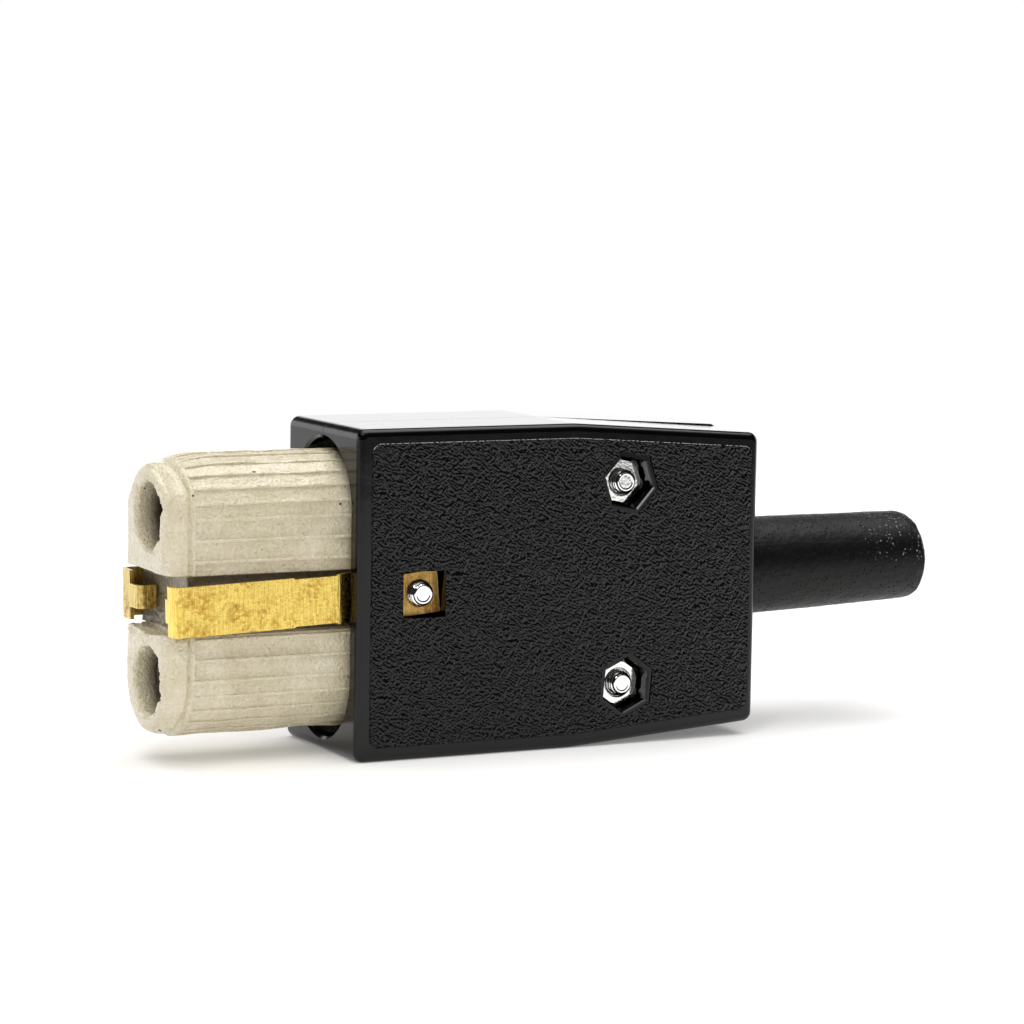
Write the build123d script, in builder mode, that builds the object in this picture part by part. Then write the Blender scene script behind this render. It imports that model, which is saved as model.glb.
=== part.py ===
from build123d import *
import os
from math import cos, radians, sin, tan

os.makedirs("parts", exist_ok=True)

# Two-pole connector for a hot appliance, such as an iron. It stands on one narrow edge of its
# housing: X runs along it from the ceramic nose to the rubber sleeve, the nut side faces -Y and Z is
# up. The origin is under the middle of its length, on the surface that it stands on. Millimetres.

# Housing
housing_length = 54.7
housing_width = 39.8
housing_rear_width = 36.2
housing_thickness = 21.0
taper_start = 29.0
bend_radius = 14.0
corner_radius = 1.2
edge_radius = 0.9
seam_chamfer = 0.05
far_rear_step = 0.22
border_width = 1.7
rear_border = 1.05
panel_step = 0.18
panel_bevel = 0.14
pocket_rim = 0.7
pocket_bevel = 0.2
side_wall = 2.2
face_wall = 2.3
rear_wall = 2.5
mouth_width = 16.4
mouth_height = 36.3
mouth_chamfer = 0.3

# Ceramic nose
pin_spacing = 19.0
nose_reach = 22.5
tower_radius = 7.35
tip_length = 2.7
tip_step = 0.12
tip_rounding = 0.8
rib_height = 0.2
rib_width = 0.4
rib_count = 13
flat_rib_count = 2
flat_rib_pitch = 2.45
nose_insert = 4.0
collar_length = 10.0
collar_clearance = 0.15
slot_height = 7.1
slot_drop = 0.55
slot_depth = 2.6
web_thickness = 12.4
socket_entry = 8.0
socket_rounding = 0.5
entry_length = 7.0

# Contact sleeves and the steel clips round them
contact_bore = 6.1
contact_wall = 0.7
contact_setback = 1.0
slit_width = 1.0
slit_end_gap = 5.0
flange_overlap = 0.8
flange_thickness = 1.0
clip_wall = 0.45
clip_length = 12.0
clip_setback = 4.0
chamber_clearance = 0.25
running_gap = 0.05

# Terminals
tongue_length = 10.0
tongue_width = 7.0
tongue_thickness = 1.4
tongue_offset = 2.3
terminal_shank = 3.5
terminal_head = 6.0
terminal_head_height = 2.0
terminal_length = 4.5
washer_side = 6.6
washer_thickness = 0.8
earth_nut_side = 6.5
earth_nut_thickness = 1.6

# Earth springs
spring_thickness = 0.5
spring_clearance = 0.6
spring_notch = 0.15
notch_start = 1.7
notch_end = 7.2
spring_seat_end = 2.4
spring_mouth = 1.4
spring_side_reach = 8.25
spring_front_reach = 8.5
spring_bend = 1.0
tab_width = 2.8
tab_bend = 0.6
hook_clearance = 0.1
near_shoulder = 6.7
near_hook = 5.3
far_shoulder = 5.4
far_hook = 2.7
near_droop = 1.9
far_droop = 1.1
spring_tail = 1.0

# Screws and nuts that close the housing
screw_diameter = 3.0
screw_clearance = 0.2
screw_head = 5.5
screw_head_height = 2.0
screw_slot_width = 0.8
screw_slot_depth = 0.9
screw_point = 0.4
screw_proud = 1.2
counterbore_depth = 2.3
counterbore_clearance = 0.35
housing_screw_setback = 18.3
housing_screw_spacing = 25.0
nut_flats = 5.5
nut_thickness = 2.4
nut_chamfer = 0.35
nut_countersink = 0.35
nut_depth = 2.1
pocket_clearance = 0.18
upper_nut_turn = 48.0
lower_nut_turn = 25.0
boss_wall = 1.4
centre_screw_place = 8.7
square_nut_side = 5.1
square_nut_thickness = 1.6
square_nut_depth = 1.3
square_nut_turn = 5.5
square_nut_countersink = 0.15
square_pocket_clearance = 0.25
centre_boss_wall = 1.6
groove_clearance = 0.3
groove_lead = 2.5

# Cord clamp
clamp_clearance = 0.3
clamp_screw_spacing = 16.4
clamp_opening = 6.2
clamp_bar_width = 5.2
clamp_bar_thickness = 2.0
clamp_head_height = 1.6
clamp_groove = 0.6
clamp_thread_length = 7.0
clamp_post = 6.4
saddle_width = 10.0
saddle_length = 4.0

# Rubber sleeve
sleeve_reach = 29.3
sleeve_root = 12.7
sleeve_end = 11.5
sleeve_bore = 7.2
sleeve_rounding = 1.9
sleeve_lean = 1.1
sleeve_flange_thickness = 2.4
sleeve_clearance = 0.2
sleeve_rib = 1.5
sleeve_rib_height = 22.0

# Places along the connector
front_x = (nose_reach - housing_length - sleeve_reach) / 2
tip_x = front_x - nose_reach
rear_x = front_x + housing_length
taper_x = front_x + taper_start
collar_x = front_x + nose_insert
ceramic_rear_x = collar_x + collar_length
cavity_end_x = rear_x - rear_wall
screw_x = rear_x - housing_screw_setback
centre_x = front_x + centre_screw_place
contact_x = tip_x + entry_length + contact_setback
terminal_x = ceramic_rear_x + flange_thickness + tongue_length / 2
flange_x = cavity_end_x - sleeve_clearance - sleeve_flange_thickness
rib_x = flange_x - sleeve_clearance - sleeve_rib
clamp_x = rib_x - clamp_clearance - clamp_post / 2

# Places across it
mid_z = housing_width / 2
near_y = -housing_thickness / 2
far_y = housing_thickness / 2
panel_y = far_y + panel_step
cavity_y = far_y - face_wall
spring_y = web_thickness / 2 + running_gap + spring_thickness / 2
boss_y = spring_y + spring_thickness / 2 + running_gap
nut_face_y = near_y + nut_depth
nut_seat_y = nut_face_y + nut_thickness
square_face_y = near_y + square_nut_depth
square_seat_y = square_face_y + square_nut_thickness
head_seat_y = far_y - counterbore_depth
earth_y = tongue_offset + spring_thickness / 2
earth_lift = (terminal_x - centre_x) * tan(radians(far_droop))

# Sizes that follow from the ones above
land_radius = tower_radius - rib_height
contact_outer = contact_bore + 2 * contact_wall
clip_outer = contact_outer + 2 * (running_gap + clip_wall)
chamber_diameter = clip_outer + 2 * chamber_clearance
spring_width = slot_height - 2 * spring_clearance
sleeve_flange = 2 * (cavity_y - sleeve_clearance)
screw_hole = screw_diameter + 2 * screw_clearance
pocket_flats = nut_flats + 2 * pocket_clearance
pocket_corner_radius = pocket_flats / 2 / cos(radians(30))
boss_radius = pocket_corner_radius + boss_wall
square_pocket = square_nut_side + 2 * square_pocket_clearance
counterbore_radius = screw_head / 2 + counterbore_clearance
centre_boss_radius = square_pocket / 2 + centre_boss_wall
housing_screws_at = [
    (screw_x, housing_screw_spacing / 2, upper_nut_turn),
    (screw_x, -housing_screw_spacing / 2, lower_nut_turn),
]
far_screws_at = [(x, height) for x, height, turn in housing_screws_at] + [(centre_x, 0)]
clamp_screws_at = [(clamp_x, clamp_screw_spacing / 2), (clamp_x, -clamp_screw_spacing / 2)]
sockets_at = {"upper": pin_spacing / 2, "lower": -pin_spacing / 2}
terminals_at = [pin_spacing / 2, earth_lift, -pin_spacing / 2]

# Planes: the parting plane seen from the near side, planes across the connector, and planes that
# face the near and the far side
wide_plane = Plane(origin=(0, 0, mid_z), x_dir=(1, 0, 0), z_dir=(0, -1, 0))


def cross_plane(x):
    """The plane across the connector at x, with Y to its right and Z up."""
    return Plane(origin=(x, 0, mid_z), x_dir=(0, 1, 0), z_dir=(1, 0, 0))


def near_place(x, y, height):
    """A plane at this place that faces the near side, height from the middle of the housing."""
    return Plane(origin=(x, y, mid_z + height), x_dir=(1, 0, 0), z_dir=(0, -1, 0))


def far_place(x, y, height):
    """A plane at this place that faces the far side, height from the middle of the housing."""
    return Plane(origin=(x, y, mid_z + height), x_dir=(-1, 0, 0), z_dir=(0, 1, 0))


def wide_outline(start_x, end_x, inset, rear_width):
    """Outline on the wide face from start_x to end_x, inset from the housing's narrow sides.

    The sides are parallel at first, then close in to rear_width at the rear end of the housing.
    """
    slope = (housing_width - rear_width) / 2 / (rear_x - taper_x)
    front_height = housing_width / 2 - inset
    end_height = front_height - slope * (end_x - taper_x)
    with BuildSketch(wide_plane) as outline:
        with BuildLine():
            Polyline(
                (start_x, -front_height),
                (taper_x, -front_height),
                (end_x, -end_height),
                (end_x, end_height),
                (taper_x, front_height),
                (start_x, front_height),
                close=True,
            )
        make_face()
        ends_and_bends = outline.vertices().group_by(Axis.X)
        fillet(ends_and_bends[0] + ends_and_bends[-1], corner_radius)
        fillet(outline.vertices().filter_by_position(Axis.X, taper_x - 1, taper_x + 1), bend_radius)
    return outline.sketch


def half_shell(side, rear_width):
    """What both halves of the housing share; side is -1 for the near half and 1 for the far one."""
    outside = wide_outline(front_x, rear_x, 0, rear_width)
    panel = wide_outline(front_x + border_width, rear_x - rear_border, border_width, rear_width)
    cavity = wide_outline(ceramic_rear_x, cavity_end_x, side_wall, rear_width)
    with BuildPart() as half:
        extrude(outside, amount=-side * far_y)
        fillet(half.edges().group_by(Axis.Y)[0 if side < 0 else -1], edge_radius)
        chamfer(half.edges().group_by(Axis.Y)[-1 if side < 0 else 0], seam_chamfer)
        # The wide face is a panel with bevelled edges that stands a little proud of its border
        extrude(panel, amount=-side * panel_y)
        chamfer(half.edges().group_by(Axis.Y)[0 if side < 0 else -1], panel_bevel)
        extrude(cavity, amount=-side * cavity_y, mode=Mode.SUBTRACT)
        with BuildSketch(cross_plane(front_x)):
            SlotOverall(mouth_height, mouth_width, rotation=90)
        extrude(amount=ceramic_rear_x - front_x, mode=Mode.SUBTRACT)
        with BuildSketch(cross_plane(front_x)):
            SlotOverall(mouth_height + 2 * mouth_chamfer, mouth_width + 2 * mouth_chamfer, rotation=90)
        extrude(amount=mouth_chamfer, taper=45, mode=Mode.SUBTRACT)
        # Bosses of the two housing screws
        with BuildSketch(wide_plane):
            with Locations(*[(x, height) for x, height, turn in housing_screws_at]):
                Circle(boss_radius)
        extrude(amount=-side * (far_y - face_wall / 2))
        # Boss of the centre screw, which holds the earth spring against the ceramic
        with BuildSketch(wide_plane.offset(-side * boss_y)):
            with Locations((centre_x, 0)):
                Circle(centre_boss_radius)
        extrude(amount=-side * (far_y - face_wall / 2 - boss_y))
        # Rib that traps the flange of the sleeve against the rear wall
        with BuildSketch(wide_plane):
            with Locations((rib_x + sleeve_rib / 2, 0)):
                Rectangle(sleeve_rib, sleeve_rib_height)
        extrude(amount=-side * (far_y - face_wall / 2))
        with BuildSketch(cross_plane(rib_x)):
            Circle(sleeve_root / 2)
        extrude(amount=sleeve_rib, mode=Mode.SUBTRACT)
        with BuildSketch(cross_plane(cavity_end_x)):
            Circle(sleeve_root / 2 + sleeve_clearance)
        extrude(amount=rear_wall, mode=Mode.SUBTRACT)
    return half.part


def slotted_screw(shank, length, head, head_height):
    """A cheese-head screw: the head stands up from its seat and the shank runs down through it."""
    Cylinder(head / 2, head_height, align=(Align.CENTER, Align.CENTER, Align.MIN))
    with Locations((0, 0, head_height)):
        Box(head, screw_slot_width, 2 * screw_slot_depth, mode=Mode.SUBTRACT)
    Cylinder(shank / 2, length - screw_point, align=(Align.CENTER, Align.CENTER, Align.MAX))
    with Locations((0, 0, -length)):
        Cone(
            shank / 2 - screw_point,
            shank / 2,
            screw_point,
            align=(Align.CENTER, Align.CENTER, Align.MIN),
        )


def hexagon_nut():
    """A nut with both ends chamfered; it lies on its seat and its bore runs up."""
    with BuildPart() as nut:
        Cylinder(
            nut_flats / 2 / cos(radians(30)),
            nut_thickness,
            align=(Align.CENTER, Align.CENTER, Align.MIN),
        )
        chamfer(nut.edges().filter_by(GeomType.CIRCLE), nut_chamfer / 2, nut_chamfer)
        with BuildSketch():
            RegularPolygon(nut_flats / 2, 6, major_radius=False)
        extrude(amount=nut_thickness, mode=Mode.INTERSECT)
        Hole(screw_diameter / 2 + running_gap)
        chamfer(
            nut.edges().filter_by(GeomType.CIRCLE).filter_by(
                lambda edge: abs(edge.radius - screw_diameter / 2) < 2 * running_gap
            ),
            nut_countersink,
        )
    return nut.part


def earth_strip(side, shoulder, hook, droop, tail):
    """A brass earth spring on one side of the nose; side is -1 for the near one and 1 for the far.

    It lies on the web of the ceramic under the centre screw, steps out at the mouth, runs along the
    side of the nose and turns in at the front, where a narrow tab hooks back towards the web. The
    screw alone holds it, so it droops a little round it. tail lists the points behind its seat.
    """
    turn = radians(droop)
    lean = Plane(
        origin=(centre_x, 0, mid_z), x_dir=(cos(turn), 0, sin(turn)), z_dir=(-sin(turn), 0, cos(turn))
    )
    front = tip_x + spring_thickness / 2 - centre_x
    hook_y = hook + spring_thickness / 2
    hook_end = tip_x + slot_depth - hook_clearance - spring_thickness / 2 - centre_x
    path = tail + [
        (front_x + spring_seat_end - centre_x, spring_y),
        (front_x - spring_mouth - centre_x, spring_side_reach),
        (front, spring_front_reach),
        (front, hook_y),
        (hook_end, hook_y),
    ]
    bends = [spring_bend] * (len(path) - 3) + [tab_bend]
    edge_length = tip_length + spring_thickness
    with BuildPart() as strip:
        with BuildSketch(lean.offset(-spring_width / 2)):
            with BuildLine():
                FilletPolyline(*[(x, side * y) for x, y in path], radius=bends)
                offset(amount=spring_thickness / 2, side=Side.BOTH)
            make_face()
        extrude(amount=spring_width)
        for edge in (-1, 1):
            # Above and below the narrow tab
            with BuildSketch(lean.offset(edge * tab_width / 2)):
                with Locations((front, side * (shoulder + hook - spring_thickness) / 2)):
                    Rectangle(2 * edge_length, shoulder - hook + spring_thickness)
            extrude(amount=edge * spring_width, mode=Mode.SUBTRACT)
            # Shallow notch in the long edges, in front of the mouth
            with BuildSketch(lean.offset(edge * (spring_width / 2 - spring_notch))):
                with Locations((front_x - centre_x - (notch_start + notch_end) / 2, 0)):
                    Rectangle(notch_end - notch_start, 4 * spring_front_reach)
            extrude(amount=edge * spring_width, mode=Mode.SUBTRACT)
        with BuildSketch(near_place(centre_x, 0, 0)):
            Circle(screw_hole / 2)
        extrude(amount=far_y, both=True, mode=Mode.SUBTRACT)
    return strip.part


near_half = half_shell(-1, housing_rear_width)
far_half = half_shell(1, housing_rear_width + 2 * far_rear_step)

with BuildPart() as near_shell:
    add(near_half)
    for x, height, turn in housing_screws_at:
        with BuildSketch(near_place(x, -panel_y, height)):
            RegularPolygon(pocket_corner_radius + pocket_rim, 6, rotation=turn)
        extrude(amount=-panel_step, mode=Mode.SUBTRACT)
        with BuildSketch(near_place(x, near_y, height)):
            RegularPolygon(pocket_corner_radius, 6, rotation=turn)
        extrude(amount=-(nut_depth + nut_thickness), mode=Mode.SUBTRACT)
        with BuildSketch(near_place(x, near_y, height)):
            RegularPolygon(pocket_corner_radius + pocket_bevel, 6, rotation=turn)
        extrude(amount=-pocket_bevel, taper=45, mode=Mode.SUBTRACT)
        with BuildSketch(near_place(x, near_y, height)):
            Circle(screw_hole / 2)
        extrude(amount=-far_y, mode=Mode.SUBTRACT)
    with BuildSketch(near_place(centre_x, -panel_y, 0)):
        Rectangle(square_pocket, square_pocket)
    extrude(amount=-(panel_step + square_nut_depth + square_nut_thickness), mode=Mode.SUBTRACT)
    with BuildSketch(near_place(centre_x, near_y, 0)):
        Circle(screw_hole / 2)
    extrude(amount=-far_y, mode=Mode.SUBTRACT)
near_shell.part.label = "near_shell"
export_step(near_shell.part, "parts/near_shell.step")

with BuildPart() as far_shell:
    add(far_half)
    for x, height in far_screws_at:
        with BuildSketch(far_place(x, panel_y, height)):
            Circle(counterbore_radius + pocket_rim)
        extrude(amount=-panel_step, mode=Mode.SUBTRACT)
    with Locations(*[far_place(x, far_y, height) for x, height in far_screws_at]):
        CounterBoreHole(screw_hole / 2, counterbore_radius, counterbore_depth, far_y)
    # Two posts that carry the clamp bar, and the saddle that it presses the cord on
    with BuildSketch(wide_plane.offset(clamp_opening / 2)):
        with Locations(*clamp_screws_at):
            Circle(clamp_post / 2)
    extrude(amount=-(clamp_opening / 2 + far_y - face_wall / 2))
    with BuildSketch(wide_plane.offset(clamp_opening / 2)):
        with Locations(*clamp_screws_at):
            Circle(screw_diameter / 2 + running_gap)
    extrude(amount=-clamp_thread_length, mode=Mode.SUBTRACT)
    with BuildSketch(wide_plane.offset(-clamp_opening / 2)):
        with Locations((clamp_x, 0)):
            Rectangle(saddle_length, saddle_width)
    extrude(amount=-(far_y - face_wall / 2 - clamp_opening / 2))
far_shell.part.label = "far_shell"
export_step(far_shell.part, "parts/far_shell.step")

with BuildPart() as ceramic_nose:
    # Smooth tip with a rounded rim, a step below the lands
    with BuildSketch(cross_plane(tip_x)):
        SlotCenterToCenter(pin_spacing, 2 * (land_radius - tip_step), rotation=90)
    extrude(amount=tip_length)
    fillet(ceramic_nose.faces().sort_by(Axis.X)[0].edges(), tip_rounding)
    # Ribbed sides: flat lands with a thin rib between each two
    with BuildSketch(cross_plane(tip_x + tip_length)):
        SlotCenterToCenter(pin_spacing, 2 * land_radius, rotation=90)
        for height, start in ((pin_spacing / 2, 0), (-pin_spacing / 2, 180)):
            with Locations((0, height)):
                with PolarLocations(land_radius, rib_count, start, 180, endpoint=True):
                    Rectangle(2 * rib_height, rib_width)
        for step in range(1, flat_rib_count + 1):
            height = pin_spacing / 2 - step * flat_rib_pitch
            with GridLocations(2 * land_radius, 2 * height, 2, 2):
                Rectangle(2 * rib_height, rib_width)
    extrude(amount=nose_reach - tip_length + nose_insert)
    # Collar that fits the mouth of the housing
    with BuildSketch(cross_plane(collar_x)):
        SlotOverall(
            mouth_height - 2 * collar_clearance, mouth_width - 2 * collar_clearance, rotation=90
        )
    extrude(amount=collar_length)
    # Slot across the tip, and a groove on each side for the earth springs; the far one starts near the
    # mouth, where its spring turns in
    with BuildSketch(cross_plane(tip_x)):
        with Locations((0, -slot_drop)):
            Rectangle(mouth_width, slot_height)
    extrude(amount=slot_depth, mode=Mode.SUBTRACT)
    for side, start in ((-1, tip_x), (1, front_x - groove_lead)):
        with BuildSketch(cross_plane(start)):
            with Locations((side * (web_thickness + mouth_width) / 2, -slot_drop)):
                Rectangle(mouth_width, slot_height)
        extrude(amount=ceramic_rear_x - start, mode=Mode.SUBTRACT)
    # Wider groove behind, round the boss of the centre screw
    with BuildSketch(cross_plane(collar_x)):
        with GridLocations(web_thickness + mouth_width, 0, 2, 1):
            Rectangle(mouth_width, 2 * (centre_boss_radius + groove_clearance))
    extrude(amount=collar_length, mode=Mode.SUBTRACT)
    # Sockets: a round entry, and a wider chamber behind it for the contact
    with BuildSketch(cross_plane(tip_x)):
        with GridLocations(0, pin_spacing, 1, 2):
            Circle(socket_entry / 2)
    extrude(amount=ceramic_rear_x - tip_x, mode=Mode.SUBTRACT)
    with BuildSketch(cross_plane(tip_x + entry_length)):
        with GridLocations(0, pin_spacing, 1, 2):
            Circle(chamber_diameter / 2)
    extrude(amount=ceramic_rear_x - tip_x - entry_length, mode=Mode.SUBTRACT)
    rims = ceramic_nose.edges().filter_by(GeomType.CIRCLE).filter_by(
        lambda edge: abs(edge.center().X - tip_x) < running_gap
        and abs(edge.radius - socket_entry / 2) < running_gap
    )
    fillet(rims, socket_rounding)
    with BuildSketch(near_place(centre_x, 0, 0)):
        Circle(screw_hole / 2)
    extrude(amount=web_thickness, both=True, mode=Mode.SUBTRACT)
ceramic_nose.part.label = "ceramic_nose"
export_step(ceramic_nose.part, "parts/ceramic_nose.step")

for place, height in sockets_at.items():
    # Slit brass socket, its flange on the rear of the ceramic and its terminal tongue behind
    with BuildPart() as contact_sleeve:
        with BuildSketch(cross_plane(contact_x)):
            with Locations((0, height)):
                Circle(contact_outer / 2)
        extrude(amount=ceramic_rear_x - contact_x)
        with BuildSketch(cross_plane(ceramic_rear_x)):
            with Locations((0, height)):
                Circle(chamber_diameter / 2 + flange_overlap)
        extrude(amount=flange_thickness)
        with BuildSketch(cross_plane(ceramic_rear_x)):
            with Locations((tongue_offset + tongue_thickness / 2, height)):
                Rectangle(tongue_thickness, tongue_width)
        extrude(amount=flange_thickness + tongue_length)
        with BuildSketch(cross_plane(contact_x)):
            with Locations((0, height)):
                Circle(contact_bore / 2)
        extrude(amount=ceramic_rear_x + flange_thickness - contact_x, mode=Mode.SUBTRACT)
        with BuildSketch(cross_plane(contact_x)):
            with Locations((-contact_outer / 2, height)):
                Rectangle(contact_outer, slit_width)
        extrude(amount=ceramic_rear_x - slit_end_gap - contact_x, mode=Mode.SUBTRACT)
        with BuildSketch(near_place(terminal_x, 0, height)):
            Circle(terminal_shank / 2 + running_gap)
        extrude(amount=-far_y, mode=Mode.SUBTRACT)
    contact_sleeve.part.label = f"contact_sleeve_{place}"
    export_step(contact_sleeve.part, f"parts/contact_sleeve_{place}.step")

    # Steel clip round the front of the socket, open along the same slit
    with BuildPart() as contact_spring:
        with BuildSketch(cross_plane(contact_x + clip_setback)):
            with Locations((0, height)):
                Circle(clip_outer / 2)
                Circle(contact_outer / 2 + running_gap, mode=Mode.SUBTRACT)
            with Locations((-contact_outer, height)):
                Rectangle(2 * contact_outer, slit_width, mode=Mode.SUBTRACT)
        extrude(amount=clip_length)
    contact_spring.part.label = f"contact_spring_{place}"
    export_step(contact_spring.part, f"parts/contact_spring_{place}.step")

near_tail = [(ceramic_rear_x + spring_tail - centre_x, spring_y)]
far_tail = [
    (terminal_x + washer_side / 2 + spring_tail - centre_x, earth_y),
    (terminal_x - washer_side / 2 - spring_tail - centre_x, earth_y),
    (ceramic_rear_x + spring_tail - centre_x, spring_y),
]
near_strip = earth_strip(-1, near_shoulder, near_hook, near_droop, near_tail)
far_strip = earth_strip(1, far_shoulder, far_hook, far_droop, far_tail)

with BuildPart() as earth_spring_near:
    add(near_strip)
earth_spring_near.part.label = "earth_spring_near"
export_step(earth_spring_near.part, "parts/earth_spring_near.step")

with BuildPart() as earth_spring_far:
    add(far_strip)
    with BuildSketch(near_place(terminal_x, 0, earth_lift)):
        Circle(terminal_shank / 2 + running_gap)
    extrude(amount=-far_y, mode=Mode.SUBTRACT)
earth_spring_far.part.label = "earth_spring_far"
export_step(earth_spring_far.part, "parts/earth_spring_far.step")

with BuildPart() as earth_nut:
    with BuildSketch(near_place(terminal_x, tongue_offset + spring_thickness, earth_lift)):
        Rectangle(earth_nut_side, earth_nut_side)
        Circle(terminal_shank / 2 + running_gap, mode=Mode.SUBTRACT)
    extrude(amount=-earth_nut_thickness)
earth_nut.part.label = "earth_nut"
export_step(earth_nut.part, "parts/earth_nut.step")

with BuildPart() as terminal_washers:
    for height in terminals_at:
        with BuildSketch(near_place(terminal_x, tongue_offset, height)):
            Rectangle(washer_side, washer_side)
            Circle(terminal_shank / 2 + screw_clearance, mode=Mode.SUBTRACT)
        extrude(amount=washer_thickness)
terminal_washers.part.label = "terminal_washers"
export_step(terminal_washers.part, "parts/terminal_washers.step")

with BuildPart() as terminal_screws:
    with Locations(
        *[near_place(terminal_x, tongue_offset - washer_thickness, height) for height in terminals_at]
    ):
        slotted_screw(terminal_shank, terminal_length, terminal_head, terminal_head_height)
terminal_screws.part.label = "terminal_screws"
export_step(terminal_screws.part, "parts/terminal_screws.step")

with BuildPart() as housing_screws:
    with Locations(*[far_place(x, head_seat_y, height) for x, height, turn in housing_screws_at]):
        slotted_screw(
            screw_diameter, head_seat_y - nut_face_y + screw_proud, screw_head, screw_head_height
        )
housing_screws.part.label = "housing_screws"
export_step(housing_screws.part, "parts/housing_screws.step")

plain_nut = hexagon_nut()
with BuildPart() as housing_nuts:
    for x, height, turn in housing_screws_at:
        with Locations(near_place(x, nut_seat_y, height)):
            add(plain_nut, rotation=(0, 0, turn))
housing_nuts.part.label = "housing_nuts"
export_step(housing_nuts.part, "parts/housing_nuts.step")

with BuildPart() as centre_screw:
    with Locations(far_place(centre_x, head_seat_y, 0)):
        slotted_screw(
            screw_diameter, head_seat_y - square_face_y + screw_proud, screw_head, screw_head_height
        )
centre_screw.part.label = "centre_screw"
export_step(centre_screw.part, "parts/centre_screw.step")

with BuildPart() as square_nut:
    with BuildSketch(near_place(centre_x, square_seat_y, 0)):
        Rectangle(square_nut_side, square_nut_side, rotation=square_nut_turn)
        Circle(screw_diameter / 2 + running_gap, mode=Mode.SUBTRACT)
    extrude(amount=square_nut_thickness)
    chamfer(square_nut.edges().filter_by(GeomType.CIRCLE), square_nut_countersink)
square_nut.part.label = "square_nut"
export_step(square_nut.part, "parts/square_nut.step")

with BuildPart() as cord_clamp_bar:
    with BuildSketch(wide_plane.offset(clamp_opening / 2)):
        with Locations((clamp_x, 0)):
            SlotCenterToCenter(clamp_screw_spacing, clamp_bar_width, rotation=90)
        with Locations(*clamp_screws_at):
            Circle(screw_hole / 2, mode=Mode.SUBTRACT)
    extrude(amount=clamp_bar_thickness)
    groove_radius = (saddle_width**2 / 4 + clamp_groove**2) / (2 * clamp_groove)
    with BuildSketch(cross_plane(clamp_x - clamp_bar_width)):
        with Locations((groove_radius - clamp_groove - clamp_opening / 2, 0)):
            Circle(groove_radius)
    extrude(amount=2 * clamp_bar_width, mode=Mode.SUBTRACT)
cord_clamp_bar.part.label = "cord_clamp_bar"
export_step(cord_clamp_bar.part, "parts/cord_clamp_bar.step")

with BuildPart() as clamp_screws:
    with Locations(
        *[near_place(x, -clamp_opening / 2 - clamp_bar_thickness, height) for x, height in clamp_screws_at]
    ):
        slotted_screw(
            screw_diameter,
            clamp_bar_thickness + clamp_thread_length - screw_point,
            screw_head,
            clamp_head_height,
        )
clamp_screws.part.label = "clamp_screws"
export_step(clamp_screws.part, "parts/clamp_screws.step")

# Sleeve: drawn along its own axis, which leans up a little, and turned round it
lean = radians(sleeve_lean)
sleeve_axis = Axis((rear_x, 0, mid_z), (cos(lean), 0, sin(lean)))
with BuildPart() as rubber_sleeve:
    with BuildSketch(Plane(origin=(rear_x, 0, mid_z), x_dir=sleeve_axis.direction, z_dir=(0, -1, 0))):
        with BuildLine():
            Polyline(
                (flange_x - rear_x, sleeve_bore / 2),
                (flange_x - rear_x, sleeve_flange / 2),
                (flange_x + sleeve_flange_thickness - rear_x, sleeve_flange / 2),
                (flange_x + sleeve_flange_thickness - rear_x, sleeve_root / 2),
                (0, sleeve_root / 2),
                (sleeve_reach, sleeve_end / 2),
                (sleeve_reach, sleeve_bore / 2),
                close=True,
            )
        make_face()
    revolve(axis=sleeve_axis)
    fillet(
        rubber_sleeve.edges().filter_by(GeomType.CIRCLE).filter_by(
            lambda edge: abs(edge.radius - sleeve_end / 2) < running_gap
        ),
        sleeve_rounding,
    )
rubber_sleeve.part.label = "rubber_sleeve"
export_step(rubber_sleeve.part, "parts/rubber_sleeve.step")
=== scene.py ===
# %% [markdown]
# # A cord connector for a hot appliance
#
# The real thing goes on the two round pins of an iron. A ceramic nose holds the sockets, because
# it stands the heat. A housing of two phenolic halves holds the nose and the wires, brass springs on
# both sides touch the appliance's earth shroud, and a rubber sleeve keeps the cord from bending.
# The CAD frame already has every piece at its real size and place. This lesson gives each piece the
# surface that the eye expects, and adds the small unevenness that moulds, kilns and tools leave.
# Blender counts in metres and the lesson in millimetres, so a size is multiplied by MM on its way.

# %% Load the frame
import math

import bmesh
import bpy
from mathutils import Matrix, Vector, noise


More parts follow.
